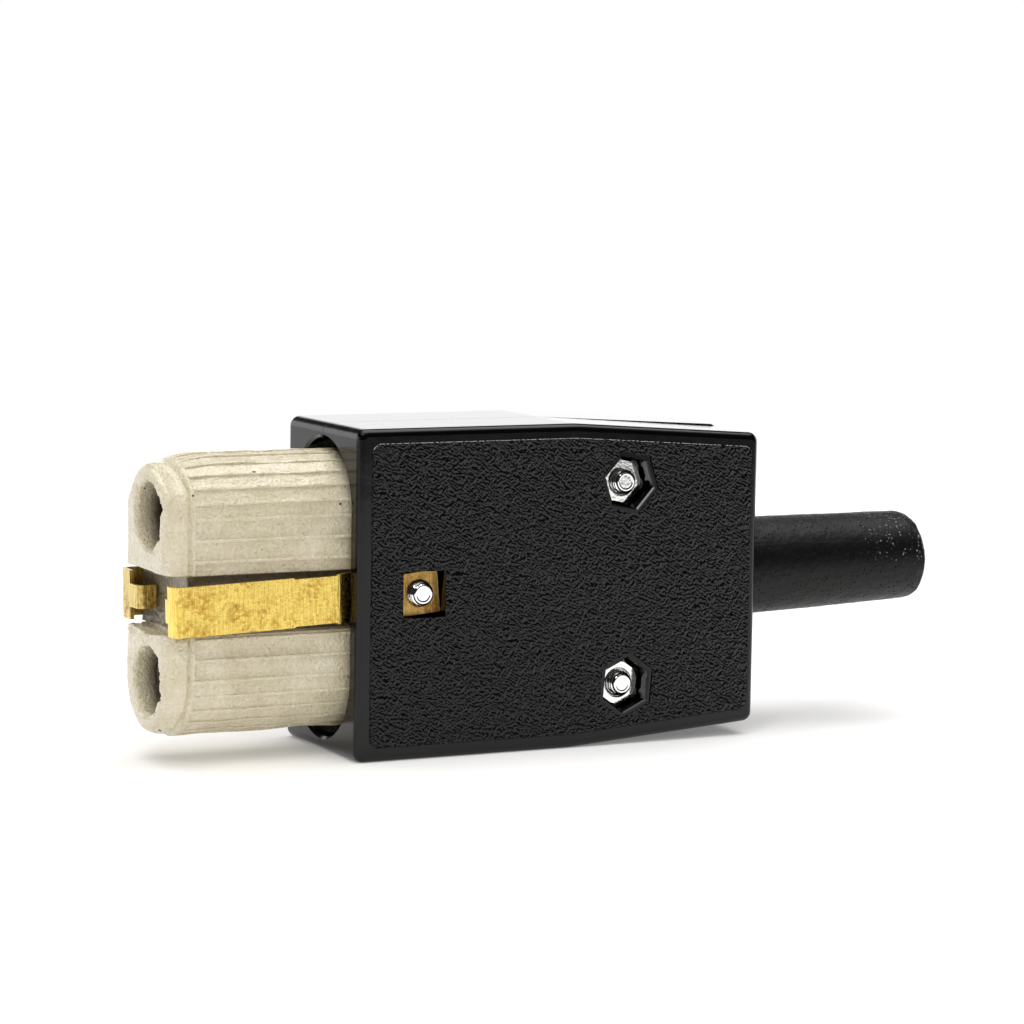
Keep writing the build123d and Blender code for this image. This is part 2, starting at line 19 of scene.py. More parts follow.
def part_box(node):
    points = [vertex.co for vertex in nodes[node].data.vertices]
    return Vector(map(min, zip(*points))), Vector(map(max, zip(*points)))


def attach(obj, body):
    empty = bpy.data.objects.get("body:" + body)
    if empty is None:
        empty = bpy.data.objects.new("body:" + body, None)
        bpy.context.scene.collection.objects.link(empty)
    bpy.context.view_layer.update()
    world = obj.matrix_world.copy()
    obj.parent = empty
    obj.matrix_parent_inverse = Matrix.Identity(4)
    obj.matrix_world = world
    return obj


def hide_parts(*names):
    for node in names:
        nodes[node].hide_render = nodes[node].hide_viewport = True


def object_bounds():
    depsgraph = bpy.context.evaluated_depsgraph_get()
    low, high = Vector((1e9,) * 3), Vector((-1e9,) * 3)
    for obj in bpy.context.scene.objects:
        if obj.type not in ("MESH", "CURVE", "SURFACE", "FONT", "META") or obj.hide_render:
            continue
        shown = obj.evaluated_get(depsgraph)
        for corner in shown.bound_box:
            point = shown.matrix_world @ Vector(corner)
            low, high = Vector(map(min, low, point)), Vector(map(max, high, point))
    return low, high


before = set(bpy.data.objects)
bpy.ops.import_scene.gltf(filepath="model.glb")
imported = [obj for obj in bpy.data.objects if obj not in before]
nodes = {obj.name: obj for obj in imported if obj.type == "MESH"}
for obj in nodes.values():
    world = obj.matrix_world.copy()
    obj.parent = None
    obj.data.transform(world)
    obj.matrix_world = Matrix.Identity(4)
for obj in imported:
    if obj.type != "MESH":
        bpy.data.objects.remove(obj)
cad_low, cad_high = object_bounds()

MM = 0.001
scene = bpy.context.scene
print(f"{len(nodes)} CAD nodes, {(cad_high - cad_low).x / MM:.1f} mm long")

# %% [markdown]
# ## Two small helpers
#
# Colours are easy to read as sRGB hex values, but shaders calculate with linear light, so one
# function does that sum for every material. The other one adds a shader node, sets it up and joins
# it to the nodes before it, which keeps each material a short list of steps. Inputs are given in a
# list from the top of the node, or by name or number. Map Range takes the value, the two ends of the
# span that it comes from and the two ends of the span that it goes to. Mix takes its factor at 0, two
# numbers at 2 and 3 or two colours at 6 and 7, and a mixed colour leaves it at output 2.

# %% Colour and node helpers
SMOOTH = {"interpolation_type": "SMOOTHSTEP"}
NUMBERS = {"data_type": "FLOAT"}
COLOURS = {"data_type": "RGBA"}
ADD = {"operation": "ADD"}
SUBTRACT = {"operation": "SUBTRACT"}
MULTIPLY = {"operation": "MULTIPLY"}
MULTIPLY_ADD = {"operation": "MULTIPLY_ADD"}
LESS_THAN = {"operation": "LESS_THAN"}
ABSOLUTE = {"operation": "ABSOLUTE"}
LENGTH = {"operation": "LENGTH"}


def linear(hex_colour):
    """The linear RGBA colour of an sRGB hex value such as "#d8c8a0"."""
    channels = [int(hex_colour[start:start + 2], 16) / 255 for start in (1, 3, 5)]
    return (*[c / 12.92 if c <= 0.04045 else ((c + 0.055) / 1.055) ** 2.4 for c in channels], 1.0)


def add_node(tree, kind, settings=None, inputs=()):
    """Add a node; each input is a value, a socket to link, or a node whose first output is linked."""
    node = tree.nodes.new("ShaderNode" + kind)
    for name, value in (settings or {}).items():
        setattr(node, name, value)
    for key, value in inputs.items() if isinstance(inputs, dict) else enumerate(inputs):
        if isinstance(value, bpy.types.Node):
            value = value.outputs[0]
        if isinstance(value, bpy.types.NodeSocket):
            tree.links.new(value, node.inputs[key])
        else:
            node.inputs[key].default_value = value
    return node


print("a mid grey is", round(linear("#808080")[0], 3), "in linear light")

# %% [markdown]
# ## Camera
#
# The camera stands where the photographer's did: a little above the table, to the left of the
# nut side, with a long lens. A Track To constraint could aim it, but the picture also leans a little,
# so its place and its three angles are written out. They were found by fitting the corners of the
# housing, the nut pockets and the nose. A camera looks along its own -Z, so the three columns of
# its matrix are its right, its up and the direction back towards the photographer.

# %% Camera
LENS_MM = 125.8
SENSOR_MM = 36.0
NEAREST_MM = 10
CAMERA_AT = Vector((-205.50, -390.95, 77.33)) * MM
AZIMUTH = math.radians(-27.14)
ELEVATION = math.radians(6.40)
ROLL = math.radians(0.94)

back = Vector((
    math.sin(AZIMUTH) * math.cos(ELEVATION),
    -math.cos(AZIMUTH) * math.cos(ELEVATION),
    math.sin(ELEVATION),
))
level_right = (-back).cross(Vector((0, 0, 1))).normalized()
level_up = level_right.cross(-back)
right = level_right * math.cos(ROLL) + level_up * math.sin(ROLL)
up = level_up * math.cos(ROLL) - level_right * math.sin(ROLL)

camera = bpy.data.objects.new("camera", bpy.data.cameras.new("camera"))
camera.data.sensor_width = SENSOR_MM
camera.data.lens = LENS_MM
camera.data.clip_start = NEAREST_MM * MM
turn = Matrix((right, up, back)).transposed().to_4x4()
camera.matrix_world = Matrix.Translation(CAMERA_AT) @ turn
scene.collection.objects.link(camera)
scene.camera = camera
print("camera", [round(value / MM) for value in camera.location], "mm")

# %% [markdown]
# ## A white studio
#
# A product photo like this is taken on a white sweep: the table is white, the wall behind it is
# brighter than white, a wide soft light hangs overhead and the room behind the camera is dark.
# Black plastic shows that room clearly. Its top mirrors the wall and turns white, its wide side
# mirrors the table, and rounded edges between them mirror the dark room and stay black. A picture of
# a studio could light the scene, but a few smooth spans over the direction of a ray give the same
# room without a file, and each is a value to turn. A direction has length 1: its Y says how far
# back it points and its Z how far up.

# %% World
WALL_SPAN = (-0.25, 0.35)
WALL_TOP_SPAN = (0.39, 0.27)
CEILING_SPAN = (0.66, 0.84)
HORIZON_SPAN = (0.0, -0.04)
TABLE_SPAN = (-0.7, 0.1)
WALL_LIGHT = 1.6
ROOM_LIGHT = 0.03
CEILING_LIGHT = 0.7
TABLE_FRONT_LIGHT = 0.12
TABLE_LIGHT = 1.0
CAMERA_LIGHT = 1.0


def studio_world():
    """White below and behind, pale above and dark in front; plain white for the camera."""
    world = bpy.data.worlds.new("studio")
    world.use_nodes = True
    tree = world.node_tree
    tree.nodes.clear()
    direction = add_node(tree, "TexCoord").outputs["Generated"]
    axes = add_node(tree, "SeparateXYZ", inputs=[direction])
    depth, height = axes.outputs["Y"], axes.outputs["Z"]
    behind = add_node(tree, "MapRange", SMOOTH, [depth, *WALL_SPAN])
    low = add_node(tree, "MapRange", SMOOTH, [height, *WALL_TOP_SPAN])
    wall = add_node(tree, "Math", MULTIPLY, [behind, low])
    ceiling = add_node(tree, "MapRange", SMOOTH, [height, *CEILING_SPAN, ROOM_LIGHT, CEILING_LIGHT])
    upper = add_node(tree, "Mix", NUMBERS, {0: wall, 2: ceiling, 3: WALL_LIGHT})
    below = add_node(tree, "MapRange", SMOOTH, [height, *HORIZON_SPAN])
    paper = add_node(tree, "MapRange", SMOOTH, [depth, *TABLE_SPAN, TABLE_FRONT_LIGHT, TABLE_LIGHT])
    around = add_node(tree, "Mix", NUMBERS, {0: below, 2: upper, 3: paper})
    seen = add_node(tree, "LightPath").outputs["Is Camera Ray"]
    strength = add_node(tree, "Mix", NUMBERS, {0: seen, 2: around, 3: CAMERA_LIGHT})
    light = add_node(tree, "Background", inputs={"Color": (1, 1, 1, 1), "Strength": strength})
    add_node(tree, "OutputWorld", inputs={"Surface": light})
    return world


scene.world = studio_world()
scene.view_settings.view_transform = "Standard"
print("world", scene.world.name, "with", len(scene.world.node_tree.nodes), "nodes")

# %% [markdown]
# ## Lamps
#
# The studio has a wide softbox overhead, a small weak lamp at the left and a wide fill from the front.
# Area lamps could stand for them, but they get weaker with distance. Sun lamps with a wide angle light
# every spot alike, so the white table stays even. The fill lifts matt surfaces, and no mirror shows it.

# %% Lamps
def soft_lamp(name, strength, spread, tilt, turn_round):
    """A far, wide lamp: spread is its angle across, tilt its angle from straight above."""
    lamp = bpy.data.lights.new(name, "SUN")
    lamp.energy = strength
    lamp.angle = math.radians(spread)
    holder = bpy.data.objects.new(name, lamp)
    holder.rotation_euler = (math.radians(tilt), 0, math.radians(turn_round))
    scene.collection.objects.link(holder)
    return holder


soft_lamp("overhead_softbox", strength=1.8, spread=56, tilt=9, turn_round=108)
soft_lamp("left_key", strength=0.36, spread=12, tilt=38, turn_round=-49)
front_fill = soft_lamp("front_fill", strength=0.8, spread=50, tilt=55, turn_round=-10)
front_fill.visible_glossy = False

# %% [markdown]
# ## A start and an end for every material
#
# Each material reads Object coordinates. They are in metres from the frame's origin, so one
# scaling step turns them to millimetres, and every pattern below can be written in its real size:
# a noise of scale 1 / 0.7 has lumps 0.7 mm apart. Most materials end in one Principled shader. What
# is the same all over is set straight on its sockets, and what changes is linked.

# %% Material helpers
def start_material(name):
    """A new material: its empty node tree and its coordinates in millimetres."""
    material = bpy.data.materials.new(name)
    material.use_nodes = True
    tree = material.node_tree
    tree.nodes.clear()
    metres = add_node(tree, "TexCoord").outputs["Object"]
    place = add_node(tree, "VectorMath", {"operation": "SCALE"}, {0: metres, "Scale": 1 / MM})
    return material, tree, place.outputs[0]


def finish_material(tree, sockets):
    """Put these values and links on a Principled shader and show it on the surface."""
    shader = add_node(tree, "BsdfPrincipled", inputs=sockets)
    add_node(tree, "OutputMaterial", inputs={"Surface": shader})


def give(material, *names):
    """Put a material in the only slot of each of these CAD nodes."""
    for name in names:
        nodes[name].data.materials.clear()
        nodes[name].data.materials.append(material)
    print(material.name, "on", ", ".join(names))


print("materials count", round(1 / MM), "mm to a metre")

# %% [markdown]
# ## The table
#
# The connector lies on a sheet of white paper. A huge plane would do for the shadow, but the black
# housing also mirrors where the paper ends: its wide side is grey where it mirrors paper and black in a
# band along its top, where it mirrors the dark room. So the paper is a flat disc that fades out where
# the real one seems to end. The camera sees white below it too, so no edge shows. A little light that
# only the camera and mirrors see lifts the paper to pure white, while the shadow stays.

# %% Table
TABLE_RADIUS_MM = 500
TABLE_FADE_MM = (325, 345)
TABLE_SIDES = 96
PAPER_LIFT = 0.17


def white_paper():
    """Matt white sweep paper: no gloss, so nothing but the shadow shows on it."""
    material, tree, place = start_material("white sweep paper")
    reach = add_node(tree, "VectorMath", LENGTH, [place]).outputs["Value"]
    fade = add_node(tree, "MapRange", SMOOTH, [reach, *TABLE_FADE_MM])
    paper = add_node(tree, "BsdfDiffuse", inputs={"Color": linear("#f4f3f1")})
    path = add_node(tree, "LightPath").outputs
    seen = add_node(tree, "Math", ADD, [path["Is Camera Ray"], path["Is Glossy Ray"]])
    shown = add_node(tree, "Math", ADD, [seen, path["Is Transmission Ray"]])
    lift = add_node(tree, "Math", MULTIPLY, [shown, PAPER_LIFT])
    glow = add_node(tree, "Emission", inputs={"Strength": lift})
    lit = add_node(tree, "AddShader", inputs=[paper, glow])
    clear = add_node(tree, "BsdfTransparent")
    mixed = add_node(tree, "MixShader", inputs=[fade, lit, clear])
    add_node(tree, "OutputMaterial", inputs={"Surface": mixed})
    return material


table_mesh = bpy.data.meshes.new("table")
disc = bmesh.new()
bmesh.ops.create_circle(disc, cap_ends=True, segments=TABLE_SIDES, radius=TABLE_RADIUS_MM * MM)
disc.to_mesh(table_mesh)
disc.free()
table_mesh.materials.append(white_paper())
table = bpy.data.objects.new("table", table_mesh)
scene.collection.objects.link(table)
print("table", 2 * TABLE_RADIUS_MM, "mm across, fades out from", TABLE_FADE_MM[0], "mm")

# %% [markdown]
# ## Black phenolic
#
# The halves are pressed from black phenolic. The mould was polished for the narrow sides and the
# border, which mirror the studio, and etched with a leather grain on the two wide panels. A photo of
# leather could be the grain, but a noise in millimetres has no seams. It is stretched, turned and
# pushed about by a coarser noise, which gives short crooked creases in place of round lumps. The
# panels stand a little proud, so the height of a point across the connector tells panel from border,
# and the slope between them gets a painted highlight: pale patches, most of them where it faces up.

# %% Phenolic grain and painted edge highlight
GRAIN_MM = 0.27
GRAIN_STRETCH = 1.5
GRAIN_LEAN = math.radians(38)
GRAIN_BEND_MM = 1.5
GRAIN_PUSH_MM = 0.8
EDGE_HIGHLIGHT_MM = 0.32
EDGE_HIGHLIGHT_SPAN = (0.38, 0.54)
EDGE_HIGHLIGHT_STRENGTH = 2.6
FACING_UP_SPAN = (0.05, 0.4)
EDGE_HIGHLIGHT_BELOW = 0.12
EDGE_MIDDLE = 0.5


def leather_grain(tree, place):
    """Short creases that lean: a stretched noise, pushed about by a coarser one."""
    bend = add_node(tree, "TexNoise", inputs={"Vector": place, "Scale": 1 / GRAIN_BEND_MM, "Detail": 1.0})
    push = (GRAIN_PUSH_MM, GRAIN_PUSH_MM, GRAIN_PUSH_MM)
    pushed = add_node(tree, "VectorMath", MULTIPLY_ADD, [bend.outputs["Color"], push, place])
    leaning = add_node(
        tree,
        "Mapping",
        {"vector_type": "TEXTURE"},
        {"Vector": pushed, "Rotation": (0, GRAIN_LEAN, 0), "Scale": (GRAIN_STRETCH, 1.0, 1.0)},
    )
    return add_node(tree, "TexNoise", inputs={"Vector": leaning, "Scale": 1 / GRAIN_MM, "Detail": 0.0})


def painted_edge_highlight(tree, place, panel):
    """Painted highlight: small pale patches on the panel's sloping edge, most of them where it faces up."""
    slope = add_node(tree, "Math", {"operation": "PINGPONG"}, [panel, EDGE_MIDDLE])
    patches = add_node(tree, "TexNoise", inputs={"Vector": place, "Scale": 1 / EDGE_HIGHLIGHT_MM, "Detail": 1.0})
    glinting = add_node(tree, "MapRange", inputs=[patches, *EDGE_HIGHLIGHT_SPAN, 0.0, EDGE_HIGHLIGHT_STRENGTH])
    normal = add_node(tree, "NewGeometry").outputs["Normal"]
    facing = add_node(tree, "SeparateXYZ", inputs=[normal])
    upper = add_node(tree, "MapRange", inputs=[facing.outputs["Z"], *FACING_UP_SPAN, EDGE_HIGHLIGHT_BELOW, 1.0])
    handled_and_highlit = add_node(tree, "Math", MULTIPLY, [glinting, upper])
    return add_node(tree, "Math", MULTIPLY, [slope, handled_and_highlit])


print("leather grain", GRAIN_MM, "mm wide, leaning", round(math.degrees(GRAIN_LEAN)), "degrees")

# %% Phenolic
PANEL_STEP_MM = 0.18
PANEL_EDGE_SHARES = (0.9, 0.3)
panel_mm = cad_high.y / MM
panel_edge_mm = [panel_mm - PANEL_STEP_MM * share for share in PANEL_EDGE_SHARES]
GRAIN_DEPTH_MM = 0.31
SWELL_MM = 2.5
SWELL_SHARE = 0.06
BORDER_ROUGHNESS = 0.14
PANEL_ROUGHNESS = 0.16
PHENOLIC_IOR = 1.39


def black_phenolic():
    """Moulded phenolic: a gloss black, grey where the table mirrors in it, with a painted highlight on the
    panel's edges.
    """
    material, tree, place = start_material("black phenolic")
    across = add_node(tree, "SeparateXYZ", inputs=[place]).outputs["Y"]
    height = add_node(tree, "Math", ABSOLUTE, [across])
    panel = add_node(tree, "MapRange", inputs=[height, *panel_edge_mm])
    grained = add_node(tree, "Math", MULTIPLY, [leather_grain(tree, place), panel])
    swell = add_node(tree, "TexNoise", inputs={"Vector": place, "Scale": 1 / SWELL_MM, "Detail": 3.0})
    relief = add_node(tree, "Math", MULTIPLY_ADD, [swell, SWELL_SHARE, grained])
    bump = add_node(
        tree, "Bump", inputs={"Height": relief, "Distance": GRAIN_DEPTH_MM * MM, "Strength": 1.0}
    )
    # Painted shade and highlight: the creases of the grain and the border get the darker black, the tops of
    # the grain the lighter one.
    tone = add_node(tree, "Mix", COLOURS, {0: grained, 6: linear("#060506"), 7: linear("#0e0d0e")})
    # Painted highlight: pale grey patches along the panel's edge, most of them where it faces up.
    edges = painted_edge_highlight(tree, place, panel)
    colour = add_node(tree, "Mix", COLOURS, {0: edges, 6: tone.outputs[2], 7: linear("#d2d0cd")})
    gloss = add_node(tree, "MapRange", inputs=[panel, 0.0, 1.0, BORDER_ROUGHNESS, PANEL_ROUGHNESS])
    finish_material(
        tree, {"Base Color": colour.outputs[2], "Normal": bump, "Roughness": gloss, "IOR": PHENOLIC_IOR}
    )
    return material


give(black_phenolic(), "near_shell", "far_shell")

# %% [markdown]
# ## Cream ceramic
#
# The nose is steatite with a thin glaze, pressed and fired, so it is never one colour: the clay is
# mottled and has brown specks where iron burned out in the kiln, and its skin has pinholes. Specks
# could be painted on, but a Voronoi pattern puts one in some of its cells, so that their size and number
# are values. The slot between the towers gets painted shade and some dirt, and the sockets turn darker
# brown towards their depth. Both depend only on where a point is, so they are worked out from its
# coordinates.

# %% Clay, painted slot shade and darker sockets
MOTTLE_SPAN = (0.65, 1.45)
SPECK_MM = 2.6
SPECK_RARE_SPAN = (0.5, 1.0)
SPECK_SHARE = 0.13
SLOT_HALF_MM = 3.5
SLOT_DROP_MM = 0.55
SLOT_SHADE_SPAN_MM = (SLOT_HALF_MM - 0.25, SLOT_HALF_MM + 0.1)
SLOT_SHADE_STRENGTH = 0.85
PIN_SPACING_MM = 19.0
SOCKET_MM = 4.45
nose_low, nose_high = (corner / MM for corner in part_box("ceramic_nose"))
middle_mm = (nose_low.z + nose_high.z) / 2
SOCKET_DARK_SPAN_MM = (nose_low.x + 0.8, nose_low.x + 3.4)


def specked_clay(tree, place, mottle):
    """Cream clay of two tones, with a brown speck in half of the cells."""
    tone = add_node(tree, "MapRange", inputs=[mottle, *MOTTLE_SPAN])
    clay = add_node(tree, "Mix", COLOURS, {0: tone, 6: linear("#dccfaa"), 7: linear("#faf0d8")})
    cells = add_node(tree, "TexVoronoi", inputs={"Vector": place, "Scale": 1 / SPECK_MM, "Randomness": 1.0})
    rare = add_node(tree, "SeparateColor", inputs=[cells.outputs["Color"]])
    size = add_node(tree, "MapRange", inputs=[rare, *SPECK_RARE_SPAN, 0.0, SPECK_SHARE])
    speck = add_node(tree, "Math", LESS_THAN, [cells.outputs["Distance"], size])
    return add_node(tree, "Mix", COLOURS, {0: speck, 6: clay.outputs[2], 7: linear("#4a3118")})


def painted_slot_shade_and_dark_sockets(tree, place, clay):
    """The clay, grey-brown with painted shade and some dirt in its slot, and darker brown deep in its
    sockets.
    """
    axes = add_node(tree, "SeparateXYZ", inputs=[place])
    from_slot = add_node(tree, "Math", SUBTRACT, [axes.outputs["Z"], middle_mm - SLOT_DROP_MM])
    off_slot = add_node(tree, "Math", ABSOLUTE, [from_slot])
    # Painted shade, with some dirt: the clay turns grey-brown in the slot between the towers.
    slot_shade = add_node(tree, "MapRange", SMOOTH, [off_slot, *SLOT_SHADE_SPAN_MM, SLOT_SHADE_STRENGTH, 0.0])
    slot_shaded = add_node(tree, "Mix", COLOURS, {0: slot_shade, 6: clay.outputs[2], 7: linear("#5a4e3e")})
    # The sockets turn darker brown towards their depth.
    from_socket = add_node(tree, "Math", SUBTRACT, [off_slot, PIN_SPACING_MM / 2])
    arm = add_node(tree, "CombineXYZ", inputs=[axes.outputs["Y"], from_socket])
    reach = add_node(tree, "VectorMath", LENGTH, [arm]).outputs["Value"]
    inside = add_node(tree, "Math", LESS_THAN, [reach, SOCKET_MM])
    deep = add_node(tree, "MapRange", SMOOTH, [axes.outputs["X"], *SOCKET_DARK_SPAN_MM])
    socket_dark = add_node(tree, "Math", MULTIPLY, [inside, deep])
    return add_node(tree, "Mix", COLOURS, {0: socket_dark, 6: slot_shaded.outputs[2], 7: linear("#3a2f22")})


print("nose", round(nose_high.x - nose_low.x, 1), "mm long, its slot at", round(middle_mm, 1), "mm")

# %% Ceramic
CLOUD_MM = 3.0
CLOUD_SPAN = (0.3, 0.7)
MOTTLE_MM = 0.4
MOTTLE_SHARE = 1.1
PINHOLE_MM = 0.8
PINHOLE_SPAN = (0.05, 0.22)
PINHOLE_SHARE = 0.35
CLAY_DEPTH_MM = 0.3
CLAY_ROUGHNESS = (0.12, 0.34)
STEATITE_IOR = 1.55
GLAZE_WEIGHT = 0.6
GLAZE_ROUGHNESS = 0.16


def cream_steatite():
    """Steatite under a thin glaze: warm cream with a wet gloss, brown specks and pinholes."""
    material, tree, place = start_material("cream steatite")
    cloud = add_node(tree, "TexNoise", inputs={"Vector": place, "Scale": 1 / CLOUD_MM, "Detail": 4.0})
    fine = add_node(
        tree, "TexNoise", inputs={"Vector": place, "Scale": 1 / MOTTLE_MM, "Detail": 2.0, "Roughness": 0.6}
    )
    mottle = add_node(tree, "Math", MULTIPLY_ADD, [fine, MOTTLE_SHARE, cloud])
    colour = painted_slot_shade_and_dark_sockets(tree, place, specked_clay(tree, place, mottle))
    pits = add_node(
        tree, "TexVoronoi", inputs={"Vector": place, "Scale": 1 / PINHOLE_MM, "Randomness": 1.0}
    )
    hollow = add_node(tree, "MapRange", SMOOTH, [pits.outputs["Distance"], *PINHOLE_SPAN])
    skin = add_node(tree, "Math", MULTIPLY_ADD, [hollow, PINHOLE_SHARE, fine])
    bump = add_node(
        tree, "Bump", inputs={"Height": skin, "Distance": CLAY_DEPTH_MM * MM, "Strength": 1.0}
    )
    gloss = add_node(tree, "MapRange", inputs=[cloud, *CLOUD_SPAN, *CLAY_ROUGHNESS])
    finish_material(tree, {
        "Base Color": colour.outputs[2],
        "Roughness": gloss,
        "Normal": bump,
        "IOR": STEATITE_IOR,
        "Coat Weight": GLAZE_WEIGHT,
        "Coat Roughness": GLAZE_ROUGHNESS,
    })
    return material


steatite = cream_steatite()
give(steatite, "ceramic_nose")

# %% [markdown]
# ## Brass
#
# The springs are cut from rolled brass strip. Rolling leaves fine lines, and years of use leave small
# pits and a slightly brown bloom. An anisotropic shader would draw out the mirrorings as the lines do,
# but from close by the lines themselves show, so they are in the colour and the bump: a noise that is
# stretched along the strip's height. They are drawn wider than real ones, which the picture couldn't
# show.

# %% Brass
LINE_MM = 0.16
LINE_STRETCH = (1.0, 1.0, 0.06)
LINE_SPAN = (0.4, 0.66)
LINE_STRENGTH = 0.45
LINE_RELIEF = 1.2
BRASS_PIT_MM = 0.5
BLOOM_MM = 4.0
BLOOM_SPAN = (0.24, 0.4)
BLOOM_ROUGHNESS = 0.14
BRASS_DEPTH_MM = 0.05


def rolled_brass(name, bright, dull, sheen):
    """Rolled brass strip: warm yellow mirror, drawn out by fine rolling lines and dulled by small pits."""
    material, tree, place = start_material(name)
    stretched = add_node(tree, "Mapping", inputs={"Vector": place, "Scale": LINE_STRETCH})
    lines = add_node(tree, "TexNoise", inputs={"Vector": stretched, "Scale": 1 / LINE_MM, "Detail": 1.0})
    pits = add_node(
        tree,
        "TexNoise",
        inputs={"Vector": place, "Scale": 1 / BRASS_PIT_MM, "Detail": 3.0, "Roughness": 0.6},
    )
    bloom = add_node(tree, "TexNoise", inputs={"Vector": place, "Scale": 1 / BLOOM_MM, "Detail": 2.0})
    worn = add_node(tree, "Math", MULTIPLY, [pits, bloom])
    dulled = add_node(tree, "MapRange", inputs=[worn, *BLOOM_SPAN])
    tone = add_node(tree, "Mix", COLOURS, {0: dulled, 6: linear(bright), 7: linear(dull)})
    streak = add_node(tree, "MapRange", inputs=[lines, *LINE_SPAN, 0.0, LINE_STRENGTH])
    colour = add_node(tree, "Mix", COLOURS, {0: streak, 6: tone.outputs[2], 7: linear(dull)})
    gloss = add_node(tree, "MapRange", inputs=[dulled, 0.0, 1.0, sheen, sheen + BLOOM_ROUGHNESS])
    relief = add_node(tree, "Math", MULTIPLY_ADD, [lines, LINE_RELIEF, worn])
    bump = add_node(
        tree, "Bump", inputs={"Height": relief, "Distance": BRASS_DEPTH_MM * MM, "Strength": 1.0}
    )
    finish_material(
        tree, {"Base Color": colour.outputs[2], "Roughness": gloss, "Normal": bump, "Metallic": 1.0}
    )
    return material


brass = rolled_brass("rolled brass", "#fee27a", "#d09c3c", sheen=0.27)
give(brass, "earth_spring_near", "contact_sleeve_upper", "contact_sleeve_lower", "earth_nut")
# Painted shade: the far spring gets a darker copy of the brass.
give(rolled_brass("far brass with painted shade", "#e6ce80", "#937036", sheen=0.28), "earth_spring_far")
# Painted shade: the square nut, deep in its pocket, gets a darker and duller copy of the brass.
give(rolled_brass("nut brass with painted shade", "#cda761", "#a57b3e", sheen=0.36), "square_nut")

# %% [markdown]
# ## Plated and blued steel
#
# Nuts and screws are zinc-plated: a pale grey mirror with a faint orange peel from the plating bath.
# The slotted heads on the far side are turned by every repair, so they are greyer and duller. They
# could have a material of their own, but head and thread are one piece, and the place of a point across
# the connector tells them apart. The clips round the sockets are spring steel, blued by heat.

# %% Steel
HEADS_MM = (4.0, 5.0)
HEAD_ROUGHNESS = 0.2
PEEL_MM = 0.4
PEEL_SPAN = (0.3, 0.7)
PEEL_SPREAD = 0.3
PEEL_DEPTH_MM = 0.01


def plated_steel(name, colour, handled_and_highlit, roughness):
    """A plated steel surface: a slightly uneven mirror, duller on the screw heads of the far side."""
    material, tree, place = start_material(name)
    axes = add_node(tree, "SeparateXYZ", inputs=[place])
    head = add_node(tree, "MapRange", inputs=[axes.outputs["Y"], *HEADS_MM])
    tone = add_node(tree, "Mix", COLOURS, {0: head, 6: linear(colour), 7: linear(handled_and_highlit)})
    peel = add_node(tree, "TexNoise", inputs={"Vector": place, "Scale": 1 / PEEL_MM, "Detail": 3.0})
    spread = (roughness * (1 - PEEL_SPREAD), roughness * (1 + PEEL_SPREAD))
    gloss = add_node(tree, "MapRange", inputs=[peel, *PEEL_SPAN, *spread])
    scuffed = add_node(tree, "Math", MULTIPLY_ADD, [head, HEAD_ROUGHNESS, gloss])
    bump = add_node(
        tree, "Bump", inputs={"Height": peel, "Distance": PEEL_DEPTH_MM * MM, "Strength": 1.0}
    )
    finish_material(
        tree, {"Base Color": tone.outputs[2], "Roughness": scuffed, "Normal": bump, "Metallic": 1.0}
    )
    return material


zinc = plated_steel("zinc-plated steel", "#f6f6f4", "#a9a8a3", roughness=0.1)
give(zinc, "housing_nuts", "housing_screws", "centre_screw")
give(zinc, "terminal_screws", "terminal_washers", "clamp_screws")
blued = plated_steel("blued spring steel", "#5d6068", "#5d6068", roughness=0.3)
give(blued, "contact_spring_upper", "contact_spring_lower")

# %% [markdown]
# ## Fibre and rubber
#
# The clamp bar is vulcanised fibre, a dense red-brown paper board. The sleeve is soft black rubber
# with a satin skin, small pits from the mould and pale dust near its end. Dust could be scattered as
# small meshes, but that takes thousands of them. Here each cell of one Voronoi pattern has a pit at its
# middle, with a grain in it where there is dust, and the three channels of the cell's random colour say
# how large the grain is, how large the pit and how pale the grain.

# %% Fibre
FIBRE_MM = 0.3
FIBRE_ROUGHNESS = 0.6


def vulcanised_fibre():
    """Dense board of paper fibre: matt red-brown with a fine mottle."""
    material, tree, place = start_material("vulcanised fibre")
    mottle = add_node(tree, "TexNoise", inputs={"Vector": place, "Scale": 1 / FIBRE_MM, "Detail": 3.0})
    tone = add_node(tree, "Mix", COLOURS, {0: mottle, 6: linear("#6a3222"), 7: linear("#85452f")})
    finish_material(tree, {"Base Color": tone.outputs[2], "Roughness": FIBRE_ROUGHNESS})
    return material


give(vulcanised_fibre(), "cord_clamp_bar")

# %% Rubber
RUBBER_SKIN_MM = 0.25
DOT_MM = 0.36
PIT_RARE_SPAN = (0.3, 1.0)
PIT_SHARE = 0.45
PIT_WALL_SPAN = (-0.12, 0.04)
PIT_DEPTHS = (0.4, 1.6)
SKIN_SHARE = 0.5
RUBBER_DEPTH_MM = 0.14
DUST_SHARE = 0.4
DUST_FAINTNESS = 1.4
PIT_ROUGHNESS = 0.8
SKIN_ROUGHNESS = 0.42
RUBBER_IOR = 1.34
sleeve_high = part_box("rubber_sleeve")[1] / MM
DUST_ALONG_MM = (sleeve_high.x - 15.0, sleeve_high.x - 6.0)
DUST_HEIGHT_MM = (middle_mm - 2.0, middle_mm + 1.5)


def pale_dust(tree, dots, kind, near_end, height):
    """How pale a point is with dust: grains on the upper side, larger and more towards the end."""
    above = add_node(tree, "MapRange", SMOOTH, [height, *DUST_HEIGHT_MM])
    dusty = add_node(tree, "Math", MULTIPLY, [near_end, above])
    largest = add_node(tree, "Math", MULTIPLY, [kind.outputs[0], DUST_SHARE])
    size = add_node(tree, "Math", MULTIPLY, [largest, dusty])
    grain = add_node(tree, "Math", LESS_THAN, [dots.outputs["Distance"], size])
    faint = add_node(tree, "Math", {"operation": "POWER"}, [kind.outputs[2], DUST_FAINTNESS])
    return add_node(tree, "Math", MULTIPLY, [grain, faint])


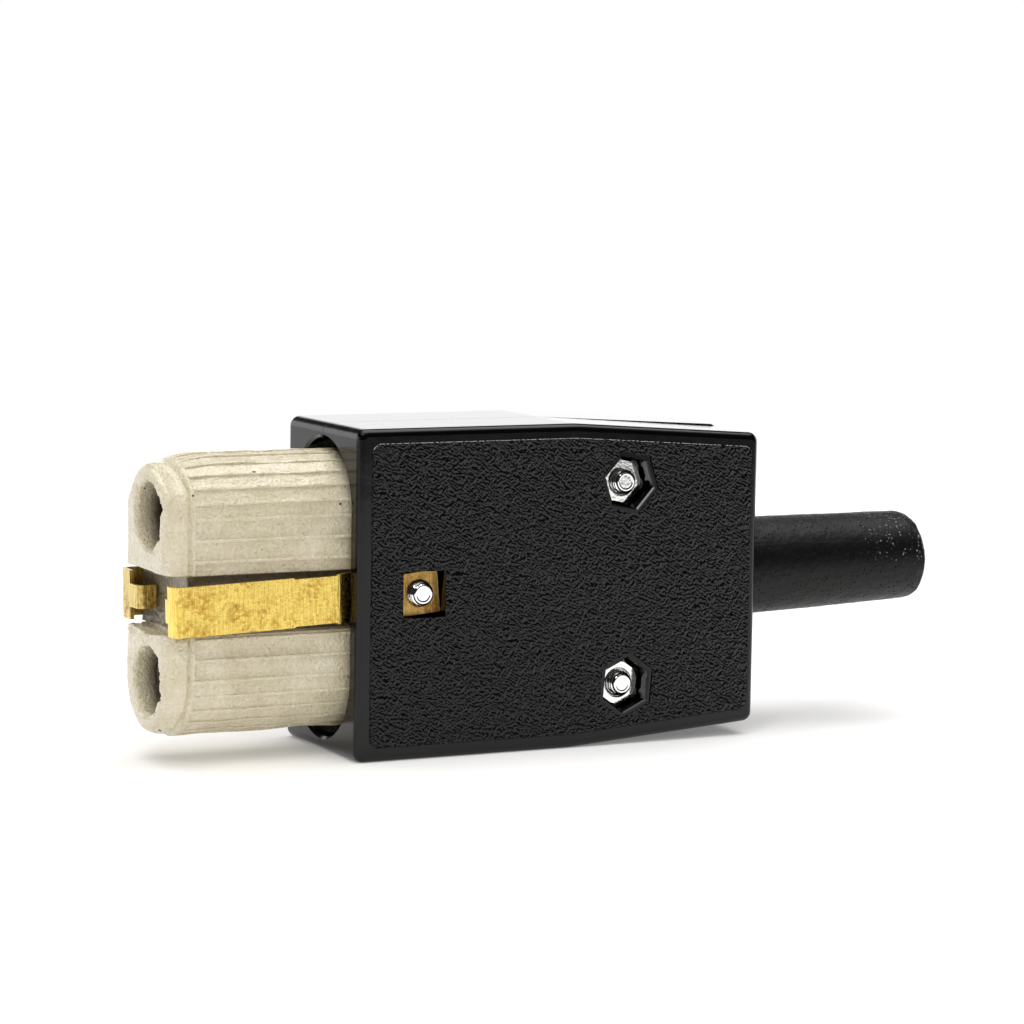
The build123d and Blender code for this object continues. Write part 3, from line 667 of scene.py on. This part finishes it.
def black_rubber():
    """Moulded rubber: a satin black, pitted, with pale dust on its upper side near the end."""
    material, tree, place = start_material("black rubber")
    axes = add_node(tree, "SeparateXYZ", inputs=[place])
    near_end = add_node(tree, "MapRange", SMOOTH, [axes.outputs["X"], *DUST_ALONG_MM])
    dots = add_node(tree, "TexVoronoi", inputs={"Vector": place, "Scale": 1 / DOT_MM, "Randomness": 1.0})
    kind = add_node(tree, "SeparateColor", inputs=[dots.outputs["Color"]])
    pit_size = add_node(tree, "MapRange", inputs=[kind.outputs[1], *PIT_RARE_SPAN, 0.0, PIT_SHARE])
    from_pit = add_node(tree, "Math", SUBTRACT, [dots.outputs["Distance"], pit_size])
    wall = add_node(tree, "MapRange", SMOOTH, [from_pit, *PIT_WALL_SPAN])
    depth = add_node(tree, "MapRange", inputs=[near_end, 0.0, 1.0, *PIT_DEPTHS])
    pits = add_node(tree, "Math", MULTIPLY, [wall, depth])
    skin = add_node(
        tree,
        "TexNoise",
        inputs={"Vector": place, "Scale": 1 / RUBBER_SKIN_MM, "Detail": 2.0, "Roughness": 0.6},
    )
    relief = add_node(tree, "Math", MULTIPLY_ADD, [skin, SKIN_SHARE, pits])
    bump = add_node(
        tree, "Bump", inputs={"Height": relief, "Distance": RUBBER_DEPTH_MM * MM, "Strength": 1.0}
    )
    pale = pale_dust(tree, dots, kind, near_end, axes.outputs["Z"])
    tone = add_node(tree, "Mix", COLOURS, {0: pale, 6: linear("#050505"), 7: linear("#a09d9b")})
    gloss = add_node(tree, "MapRange", inputs=[wall, 0.0, 1.0, PIT_ROUGHNESS, SKIN_ROUGHNESS])
    finish_material(
        tree, {"Base Color": tone.outputs[2], "Normal": bump, "Roughness": gloss, "IOR": RUBBER_IOR}
    )
    return material


rubber = black_rubber()
give(rubber, "rubber_sleeve")

# %% [markdown]
# ## Kiln-fired nose
#
# The CAD nose is exact, but the real one was pressed and fired: its ribs wander, its skin swells, and
# the rims of its holes are chipped. The tip needs small even faces that can be pushed about, so a voxel
# remesh gives a merged copy of it an even skin. The ribs behind the tip have to stay crisp, which a
# remesh would not do. There the copy keeps its own edges: they get a narrow bevel, and planes across
# the nose cut it into short lengths that can bend. The rear, hidden in the housing, stays as it is.

# %% Helpers for copies and cuts
MERGE_MM = 0.002
CUT_TOLERANCE = 1e-7


def merged_copy(node):
    """A bmesh of a CAD node's mesh, with the corners of its loose triangles merged."""
    shape = bmesh.new()
    shape.from_mesh(nodes[node].data)
    bmesh.ops.remove_doubles(shape, verts=shape.verts, dist=MERGE_MM * MM)
    return shape


def cut_across(shape, point, direction, drop=False):
    """Cut a shape's faces with a plane and, if asked, drop the side that direction points to."""
    everything = shape.verts[:] + shape.edges[:] + shape.faces[:]
    bmesh.ops.bisect_plane(
        shape, geom=everything, dist=CUT_TOLERANCE, plane_co=point, plane_no=direction, clear_outer=drop
    )


def cut_away(shape, point, direction):
    """Drop the side of a closed shape that direction points to and cap the cut."""
    cut_across(shape, point, direction, drop=True)
    rim = [edge for edge in shape.edges if edge.is_boundary]
    bmesh.ops.triangle_fill(shape, edges=rim, use_beauty=True, use_dissolve=False)
    bmesh.ops.recalc_face_normals(shape, faces=shape.faces)


def make_piece(name, shape, material):
    """Turn a bmesh into an object with this material that rides on the connector."""
    mesh = bpy.data.meshes.new(name)
    shape.to_mesh(mesh)
    shape.free()
    mesh.materials.append(material)
    piece = bpy.data.objects.new(name, mesh)
    scene.collection.objects.link(piece)
    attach(piece, "root")
    return piece


print("corners nearer than", MERGE_MM, "mm are merged")

# %% Helpers for worn skins
SOFTEN_SHARE = 0.5


def even_skin(shape, name, voxel_mm, rounds):
    """Remesh a closed shape to even small faces, smooth off the steps and give it back."""
    mesh = bpy.data.meshes.new(name)
    shape.to_mesh(mesh)
    shape.free()
    holder = bpy.data.objects.new(name, mesh)
    scene.collection.objects.link(holder)
    remesh = holder.modifiers.new("remesh", "REMESH")
    remesh.mode = "VOXEL"
    remesh.voxel_size = voxel_mm * MM
    soften = holder.modifiers.new("soften", "SMOOTH")
    soften.factor = SOFTEN_SHARE
    soften.iterations = rounds
    result = holder.evaluated_get(bpy.context.evaluated_depsgraph_get()).to_mesh()
    skin = bmesh.new()
    skin.from_mesh(result)
    bpy.data.objects.remove(holder)
    skin.normal_update()
    print(name, "skin has", len(skin.faces), "faces")
    return skin


def ramp(value, start, end):
    """0 before start, 1 after end, and smooth between them."""
    share = min(max((value - start) / (end - start), 0.0), 1.0)
    return share * share * (3 - 2 * share)


def lumps(place, layers):
    """Layers of noise on top of each other, each with its height and its lumps per mm."""
    return sum(height * noise.noise(place * per_mm) for height, per_mm in layers)


def shade_smooth(shape):
    """Let light run smoothly over all faces of a shape."""
    for face in shape.faces:
        face.smooth = True


def reshape(shape, rule, *details):
    """Move each point of a shape to where the rule says; all are worked out before any moves."""
    moves = [(vertex, rule(vertex, *details)) for vertex in shape.verts]
    for vertex, place in moves:
        vertex.co = place
    shade_smooth(shape)


print("a ramp is", ramp(0.25, 0, 1), "after a quarter of its way")

# %% Nose copies
mouth_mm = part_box("near_shell")[0].x / MM
TIP_VOXEL_MM = 0.14
TIP_CUT_MM = nose_low.x + 3.5
BODY_START_MM = nose_low.x + 2.95
NOSE_CUT_MM = mouth_mm + 2.0
FLAT_ANGLE = math.radians(1)
RIB_RADIUS_MM = 7.0
RIB_ANGLE = math.radians(40)
RIB_ALONG = 0.99
RIB_BEVEL_MM = 0.09
SLICE_MM = 0.5


def nose_length(start_mm, end_mm):
    """A closed merged copy of the CAD nose from start_mm to end_mm along X."""
    length = merged_copy("ceramic_nose")
    if end_mm is not None:
        cut_away(length, (end_mm * MM, 0, 0), (1, 0, 0))
    if start_mm is not None:
        cut_away(length, (start_mm * MM, 0, 0), (-1, 0, 0))
    return length


def is_rib_edge(edge):
    """True for a sharp edge that runs along the nose on the outside of its towers."""
    start, end = (corner.co / MM for corner in edge.verts)
    beyond = max(abs(start.z - middle_mm) - PIN_SPACING_MM / 2, 0.0)
    return (
        abs((start - end).normalized().x) > RIB_ALONG
        and math.hypot(start.y, beyond) > RIB_RADIUS_MM
        and edge.is_manifold
        and edge.calc_face_angle() > RIB_ANGLE
    )


tip_skin = even_skin(nose_length(None, TIP_CUT_MM), "ceramic_tip", TIP_VOXEL_MM, rounds=1)
rear = nose_length(NOSE_CUT_MM, None)
body = nose_length(BODY_START_MM, NOSE_CUT_MM)
bmesh.ops.dissolve_limit(body, angle_limit=FLAT_ANGLE, verts=body.verts, edges=body.edges)
rib_edges = [edge for edge in body.edges if is_rib_edge(edge)]
bmesh.ops.bevel(
    body,
    geom=rib_edges,
    offset=RIB_BEVEL_MM * MM,
    offset_type="OFFSET",
    segments=2,
    profile=0.5,
    affect="EDGES",
    material=-1,
    clamp_overlap=True,
)
for step in range(1, round((NOSE_CUT_MM - BODY_START_MM) / SLICE_MM)):
    cut_across(body, ((BODY_START_MM + step * SLICE_MM) * MM, 0, 0), (1, 0, 0))
bmesh.ops.triangulate(body, faces=body.faces)
body.normal_update()
print(len(rib_edges), "rib edges bevelled, body has", len(body.faces), "faces")

# %% [markdown]
# ### What the mould gave
#
# Each point of the skin is moved in steps, and each step is a sum over where the point is. Sculpting by
# hand could do the same, but a sum can be read and changed. The mould comes first. The tip is a dome
# that is rounder on the near side, a crease parts it from a raised ring, the ribs behind the ring are
# uneven, and the upper tower has slumped a little. A tower is round, so most of this moves a point
# towards its tower's axis or away from it.

# %% Tip, ring and ribs
SOCKET_WALL_MM = 4.7
TIP_RADIUS_MM = 7.03
LAND_RADIUS_MM = 7.15
DOME_MM = 0.8
DOME_EXTRA_MM = 2.0
DOME_SIDE_MM = (-2.0, 4.0)
CREASE_AT_MM = 2.7
CREASE_BEND_MM = 0.5
CREASE_WIDTH_MM = 0.22
CREASE_DEPTH_MM = 0.34
RING_START_MM = -0.05
RING_FULL_MM = 0.3
RING_HEIGHT_MM = 0.2
SKIN_FADE_MM = (6.2, 6.7)
RIBS_FADE_MM = (3.1, 3.6)
RIB_SHARE = 1.7
RIB_LUMPS = ((1.5, 0.3),)
RIB_SHARE_LIMITS = (0.6, 2.5)
RIB_TOP_LOSS = 0.45


def dome(deep, out, across):
    """Press a point of the tip back to the rounding of its edge: its new depth and distance out."""
    rounding = DOME_MM + DOME_EXTRA_MM * ramp(-across, *DOME_SIDE_MM)
    from_dome = Vector((deep - rounding, out - TIP_RADIUS_MM + rounding))
    if from_dome.x < 0 < from_dome.y and from_dome.length > rounding:
        from_dome *= rounding / from_dome.length
        return rounding + from_dome.x, TIP_RADIUS_MM - rounding + from_dome.y
    return deep, out


def rib_out(place, out, top, ribs_share):
    """How far out a point of a rib is, with ribs uneven and lower towards the top of the tower."""
    uneven = (RIB_SHARE + lumps(place, RIB_LUMPS)) * (1 - RIB_TOP_LOSS * top * top)
    least, most = RIB_SHARE_LIMITS
    return LAND_RADIUS_MM + (out - LAND_RADIUS_MM) * min(max(uneven, least), most) * ribs_share


def crease_and_ring(deep, top, ribs_share):
    """How far the skin stands out at the ring and in at the crease before it."""
    crease = CREASE_AT_MM - CREASE_BEND_MM * top * top
    ring = ramp(deep, crease + RING_START_MM, crease + RING_FULL_MM) * (1 - ribs_share)
    groove = math.exp(-(((deep - crease) / CREASE_WIDTH_MM) ** 2))
    return RING_HEIGHT_MM * ring - CREASE_DEPTH_MM * groove


print("crease", CREASE_AT_MM, "mm behind the tip,", CREASE_DEPTH_MM, "mm deep")

# %% Pressed towers
SLUMP_FULL_MM = 7.0
FAR_SLUMP_MM = 0.9
FAR_ACROSS_MM = (0.5, 4.0)
FAR_TOP_SPAN = (0.15, 0.6)
FAR_DEEP_MM = (1.5, 5.0)
TOP_SLUMP_MM = 0.85
TOP_SPAN = (0.4, 0.9)
TOP_DEEP_MM = (0.5, 6.5)


def slump(place, deep, out, top):
    """How far the clay of the upper tower has sunk, most at its top and on its far side."""
    far = ramp(place.y, *FAR_ACROSS_MM) * ramp(top, *FAR_TOP_SPAN) * (1 - ramp(deep, *FAR_DEEP_MM))
    above = ramp(top, *TOP_SPAN) * (1 - ramp(deep, *TOP_DEEP_MM))
    return max(FAR_SLUMP_MM * far, TOP_SLUMP_MM * above) * ramp(out, SOCKET_WALL_MM, SLUMP_FULL_MM)


def mould(place, deep):
    """Dome, crease, ring, ribs and slump: the point's new place in the tower that it belongs to."""
    side = 1 if place.z > middle_mm else -1
    centre_z = middle_mm + side * PIN_SPACING_MM / 2
    beyond = max((place.z - centre_z) * side, 0.0)
    out = math.hypot(place.y, beyond)
    if out < SOCKET_WALL_MM:
        return place
    top = beyond / out
    deep, new_out = dome(deep, out, place.y)
    ribs_share = ramp(deep, *RIBS_FADE_MM)
    if deep > CREASE_AT_MM and out > LAND_RADIUS_MM:
        new_out = rib_out(place, out, top, ribs_share)
    new_out += ramp(out, *SKIN_FADE_MM) * crease_and_ring(deep, top, ribs_share)
    if side > 0:
        new_out -= slump(place, deep, out, top)
    scale = new_out / out
    moved = Vector((nose_low.x + deep, place.y * scale, place.z))
    if beyond > 0:
        moved.z = centre_z + side * beyond * scale
    return moved


print("the upper tower sinks by up to", FAR_SLUMP_MM, "mm")

# %% [markdown]
# ### What the kiln and years of use gave
#
# The kiln swells the skin a little, in lumps of three sizes. It also let the lower hole sink and the far
# side of the slot's floor come forward. Use chipped the rims of the holes and the shelf below the slot.
# A displacement texture could do it all along the normals, but rims chip along the nose, so each
# step has its own direction. On the crisp ribs the normals of neighbours differ too much, so there
# the skin swells straight out from the tower's axis.

# %% Kiln and use
KILN_LUMPS = ((0.1, 0.22), (0.05, 0.8), (0.03, 2.3))
KILN_SHRINK_MM = 0.03
RIM_RADIUS_MM = 4.2
RIM_WIDTH_MM = (0.2, 0.85)
RIM_DEEP_MM = (0.6, 1.8)
RIM_LUMPS = ((0.55, 1.1), (0.35, 2.6))
RIM_RISE_MM = 0.1
RIM_CHIP_SHARE = 0.9
SHELF_DEEP_MM = (2.0, 3.2)
SHELF_HEIGHT_MM = (-SLOT_HALF_MM - 2.2, -SLOT_HALF_MM - 0.8)
SHELF_LUMPS = ((0.25, 1.1), (0.16, 2.6))
SHELF_LOSS_MM = 0.12
HOLE_DROP_MM = 0.65
HOLE_REACH_MM = (4.4, 6.6)
HOLE_DEEP_MM = (3.0, 6.0)
FLOOR_FORWARD_MM = 0.5
FLOOR_HALF_MM = SLOT_HALF_MM - 0.1
FLOOR_END_MM = 3.2
FLOOR_ACROSS_MM = (3.5, 6.8)
FLOOR_DEEP_MM = (2.0, 2.4)


def swell_direction(vertex, place, crisp):
    """The normal or, on crisp ribs, the way straight out from the tower's axis."""
    height = place.z - middle_mm
    beyond = max(abs(height) - PIN_SPACING_MM / 2, 0.0)
    arm = Vector((0, place.y, math.copysign(beyond, height)))
    return arm.normalized() if crisp and arm.length > SOCKET_WALL_MM else vertex.normal


def fire_and_chip(vertex, crisp):
    """Where a point of the pressed nose ends up after its mould, the kiln and years of use."""
    place = vertex.co / MM
    deep = place.x - nose_low.x
    upper = place.z > middle_mm
    socket = Vector((0, middle_mm + PIN_SPACING_MM / 2 * (1 if upper else -1)))
    reach = (Vector((place.y, place.z)) - socket).length
    from_slot = place.z - middle_mm + SLOT_DROP_MM
    swell = lumps(place, KILN_LUMPS)
    if not upper:
        shelf = (1 - ramp(deep, *SHELF_DEEP_MM)) * ramp(from_slot, *SHELF_HEIGHT_MM)
        swell += shelf * (lumps(place, SHELF_LUMPS) - SHELF_LOSS_MM)
    moved = mould(place, deep) + swell_direction(vertex, place, crisp) * (swell - KILN_SHRINK_MM)
    rim = (1 - ramp(deep, *RIM_DEEP_MM)) * (1 - ramp(abs(reach - RIM_RADIUS_MM), *RIM_WIDTH_MM))
    moved.x += rim * max(lumps(place, RIM_LUMPS), -RIM_RISE_MM) * RIM_CHIP_SHARE
    if not upper:
        moved.z -= HOLE_DROP_MM * (1 - ramp(reach, *HOLE_REACH_MM)) * (1 - ramp(deep, *HOLE_DEEP_MM))
    if abs(from_slot) < FLOOR_HALF_MM and deep < FLOOR_END_MM:
        moved.x -= FLOOR_FORWARD_MM * ramp(place.y, *FLOOR_ACROSS_MM) * ramp(deep, *FLOOR_DEEP_MM)
    moved.x = max(moved.x, nose_low.x)
    return moved * MM


print("the skin swells by up to", round(sum(height for height, _ in KILN_LUMPS), 2), "mm")

# %% Fired nose
SHARP_ANGLE = math.radians(50)

reshape(tip_skin, fire_and_chip, False)
reshape(body, fire_and_chip, True)
for length in (body, rear):
    part = bpy.data.meshes.new("nose_part")
    length.to_mesh(part)
    length.free()
    part.set_sharp_from_angle(angle=SHARP_ANGLE)
    tip_skin.from_mesh(part)
nose = make_piece("fired_nose", tip_skin, steatite)
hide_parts("ceramic_nose")
print("nose has", sum(len(face.vertices) - 2 for face in nose.data.polygons), "triangles")

# %% [markdown]
# ## Cut rubber sleeve
#
# The sleeve is soft, pitted and cut off by hand. Its lip is thin, so the mouth of the bore is drawn in
# first: a remesh drops walls that are thinner than its voxels. Then the copy gets the same even skin,
# because a Displace modifier would have too few points on the long faces of the CAD mesh. The end is
# made a little ragged and gets a low rim, and noise gives the lumps that a mould and wear leave.

# %% Sleeve copy
SLEEVE_LEAN = math.radians(1.1)
SLEEVE_LIP_MM = 4.0
SLEEVE_BORE_MM = 3.7
SLEEVE_MOUTH_MM = 1.0
SLEEVE_MOUTH_SHARE = 0.75
SLEEVE_VOXEL_MM = 0.25
housing_end_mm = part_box("near_shell")[1].x / MM
axis_point = Vector((housing_end_mm, 0, middle_mm))
axis = Vector((math.cos(SLEEVE_LEAN), 0, math.sin(SLEEVE_LEAN)))
sleeve_end_mm = (sleeve_high.x - housing_end_mm) / math.cos(SLEEVE_LEAN)


def along_and_outward(place):
    """How far along the sleeve's axis a point is, and its arm straight out from that axis."""
    along = (place - axis_point).dot(axis)
    return along, place - axis_point - axis * along


lipped = merged_copy("rubber_sleeve")
lip_start = axis_point + axis * (sleeve_end_mm - SLEEVE_LIP_MM)
cut_across(lipped, lip_start * MM, axis)
for corner in lipped.verts:
    along, outward = along_and_outward(corner.co / MM)
    if along > sleeve_end_mm - SLEEVE_MOUTH_MM and outward.length < SLEEVE_BORE_MM:
        corner.co -= outward * (1 - SLEEVE_MOUTH_SHARE) * MM
sleeve_skin = even_skin(lipped, "rubber", SLEEVE_VOXEL_MM, rounds=2)

# %% Worn sleeve
SLEEVE_LUMPS = ((0.04, 0.5), (0.03, 1.5), (0.02, 3.1))
SLEEVE_SHRINK_MM = 0.04
RAGGED_MM = 2.5
RAGGED_SHARE = 0.02
RAGGED_TOP_SHARE = 0.05
RAGGED_TOP_MM = (0.0, 4.0)
RAGGED_LUMPS = ((0.06, 0.35), (0.03, 1.2))
RIM_BEFORE_END_MM = 1.1
RIM_HALF_WIDTH_MM = 0.4
RIM_HEIGHT_MM = 0.12


def wear_sleeve(vertex):
    """Where a point of the sleeve ends up after it was cut and used."""
    place = vertex.co / MM
    along, outward = along_and_outward(place)
    moved = place + vertex.normal * (lumps(place, SLEEVE_LUMPS) - SLEEVE_SHRINK_MM)
    near_end = ramp(along, sleeve_end_mm - RAGGED_MM, sleeve_end_mm)
    ragged = RAGGED_SHARE + RAGGED_TOP_SHARE * ramp(outward.z, *RAGGED_TOP_MM) + lumps(place, RAGGED_LUMPS)
    moved -= outward * (ragged * near_end)
    rim = 1 - ((sleeve_end_mm - RIM_BEFORE_END_MM - along) / RIM_HALF_WIDTH_MM) ** 2
    moved += vertex.normal * (RIM_HEIGHT_MM * max(rim, 0.0))
    return moved * MM


reshape(sleeve_skin, wear_sleeve)
sleeve = make_piece("worn_sleeve", sleeve_skin, rubber)
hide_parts("rubber_sleeve")
print("sleeve ends at", round(sleeve_end_mm, 1), "mm from the housing")

# %% [markdown]
# ## Nut faces
#
# The nuts are turned from bar with a wide chamfer on the outer face, so that face is rounder than
# the nut. A bevel would cut all edges of the outer face alike, with the ones round the thread. In a
# merged copy, only its outer corners are drawn in towards each nut's own axis.

# %% Nuts
NUT_FACE_SHARE = 0.92
NUT_FACE_DEPTH_MM = 0.01
NUT_CORNER_MM = 2.1
NUT_SHARP_ANGLE = math.radians(8)


def chamfered_nuts(node, name):
    """Replace the nuts of a node by copies with a wider chamfer round their outer face."""
    shape = merged_copy(node)
    face_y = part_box(node)[0].y
    rims = [v for v in shape.verts if v.co.y < face_y + NUT_FACE_DEPTH_MM * MM]
    for half in (-1, 1):
        ring = [v for v in rims if (v.co.z / MM - middle_mm) * half > 0]
        centre = sum((corner.co / len(ring) for corner in ring), Vector((0, 0, 0)))
        for corner in ring:
            arm = corner.co - centre
            if arm.length > NUT_CORNER_MM * MM:
                corner.co = centre + arm * NUT_FACE_SHARE
    shade_smooth(shape)
    piece = make_piece(name, shape, zinc)
    piece.data.set_sharp_from_angle(angle=NUT_SHARP_ANGLE)
    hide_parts(node)
    print(name, "with", len(rims), "corners on the outer faces")


chamfered_nuts("housing_nuts", "chamfered_nuts")

# %% [markdown]
# ## Screw ends
#
# The ends of the closing screws stand out of their nuts, so their thread shows. A Screw modifier could
# wind a profile into a thread, but its ends stay open. So a copy of the CAD screw is cut off inside the
# nut, and a closed cylinder with many rings takes the place of its end: each ring's corners are drawn in
# by how far they are from the crest of the thread at their angle.

# %% Thread
PITCH_MM = 0.5
THREAD_DEPTH_MM = 0.27
THREAD_FLANK = (0.15, 0.85)
SCREW_RADIUS_MM = 1.5
SCREW_SIDES = 40
POINT_MM = 0.4
RINGS_PER_PITCH = 8
LONG_SHARE = 0.9
END_RIM_MM = 0.3
END_HOLLOW_MM = 0.12


def threaded_place(point, spot, end_mm):
    """Where a corner of a plain cylinder ends up across the screw when it has its thread."""
    arm = Vector((point.x, point.z)) / MM - spot
    depth = point.y / MM - end_mm
    turns = math.atan2(arm.y, arm.x) / math.tau + depth / PITCH_MM
    from_crest = abs(2 * (turns % 1) - 1)
    radius = SCREW_RADIUS_MM - THREAD_DEPTH_MM * ramp(from_crest, *THREAD_FLANK)
    return spot + arm.normalized() * min(radius, SCREW_RADIUS_MM - POINT_MM + depth)


def add_thread(shape, spot, end_mm, length_mm):
    """Add a threaded screw end along Y: it ends at end_mm and runs length_mm into the connector."""
    thread = bmesh.new()
    centre = Vector((spot.x, end_mm + length_mm / 2, spot.y)) * MM
    bmesh.ops.create_cone(
        thread,
        cap_ends=True,
        segments=SCREW_SIDES,
        radius1=SCREW_RADIUS_MM * MM,
        radius2=SCREW_RADIUS_MM * MM,
        depth=length_mm * MM,
        matrix=Matrix.Translation(centre) @ Matrix.Rotation(math.radians(90), 4, "X"),
    )
    sides = [edge for edge in thread.edges if edge.calc_length() > LONG_SHARE * length_mm * MM]
    cuts = round(length_mm / PITCH_MM * RINGS_PER_PITCH)
    bmesh.ops.subdivide_edges(thread, edges=sides, cuts=cuts, use_grid_fill=True)
    for point in thread.verts:
        across = threaded_place(point.co, spot, end_mm)
        point.co.x, point.co.z = across * MM
    caps = [face for face in thread.faces if len(face.verts) > 4]
    tips = [face for face in caps if face.calc_center_median().y < centre.y]
    bmesh.ops.inset_individual(thread, faces=tips, thickness=END_RIM_MM * MM, depth=-END_HOLLOW_MM * MM)
    for face in thread.faces:
        face.smooth = len(face.verts) == 4
    part = bpy.data.meshes.new("thread")
    thread.to_mesh(part)
    thread.free()
    shape.from_mesh(part)


print("thread of", PITCH_MM, "mm pitch,", RINGS_PER_PITCH, "rings to a turn")

# %% Screws
IN_NUT_MM = 1.2
OVERLAP_MM = 0.3
SCREW_END_MM = 0.01


def end_centres(shape, end_mm):
    """The middle of each screw's end face, as X and Z, from the corners that lie near end_mm."""
    centres = []
    for corner in [v for v in shape.verts if v.co.y / MM < end_mm + SCREW_END_MM]:
        spot = Vector((corner.co.x, corner.co.z)) / MM
        for known in centres:
            if (known[0] / known[1] - spot).length < 2 * SCREW_RADIUS_MM:
                known[0] += spot
                known[1] += 1
                break
        else:
            centres.append([spot, 1])
    return [total / count for total, count in centres]


def threaded_screws(node, nut, name):
    """Replace the screws of a node by copies whose ends have a thread."""
    shape = merged_copy(node)
    end_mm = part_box(node)[0].y / MM
    inside_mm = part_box(nut)[0].y / MM + IN_NUT_MM
    centres = end_centres(shape, end_mm)
    cut_away(shape, (0, inside_mm * MM, 0), (0, -1, 0))
    for spot in centres:
        add_thread(shape, spot, end_mm, inside_mm - end_mm + OVERLAP_MM)
    piece = make_piece(name, shape, zinc)
    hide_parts(node)
    print(name, "at", [[round(value, 1) for value in spot] for spot in centres])


threaded_screws("housing_screws", "housing_nuts", "threaded_housing_screws")
threaded_screws("centre_screw", "square_nut", "threaded_centre_screw")
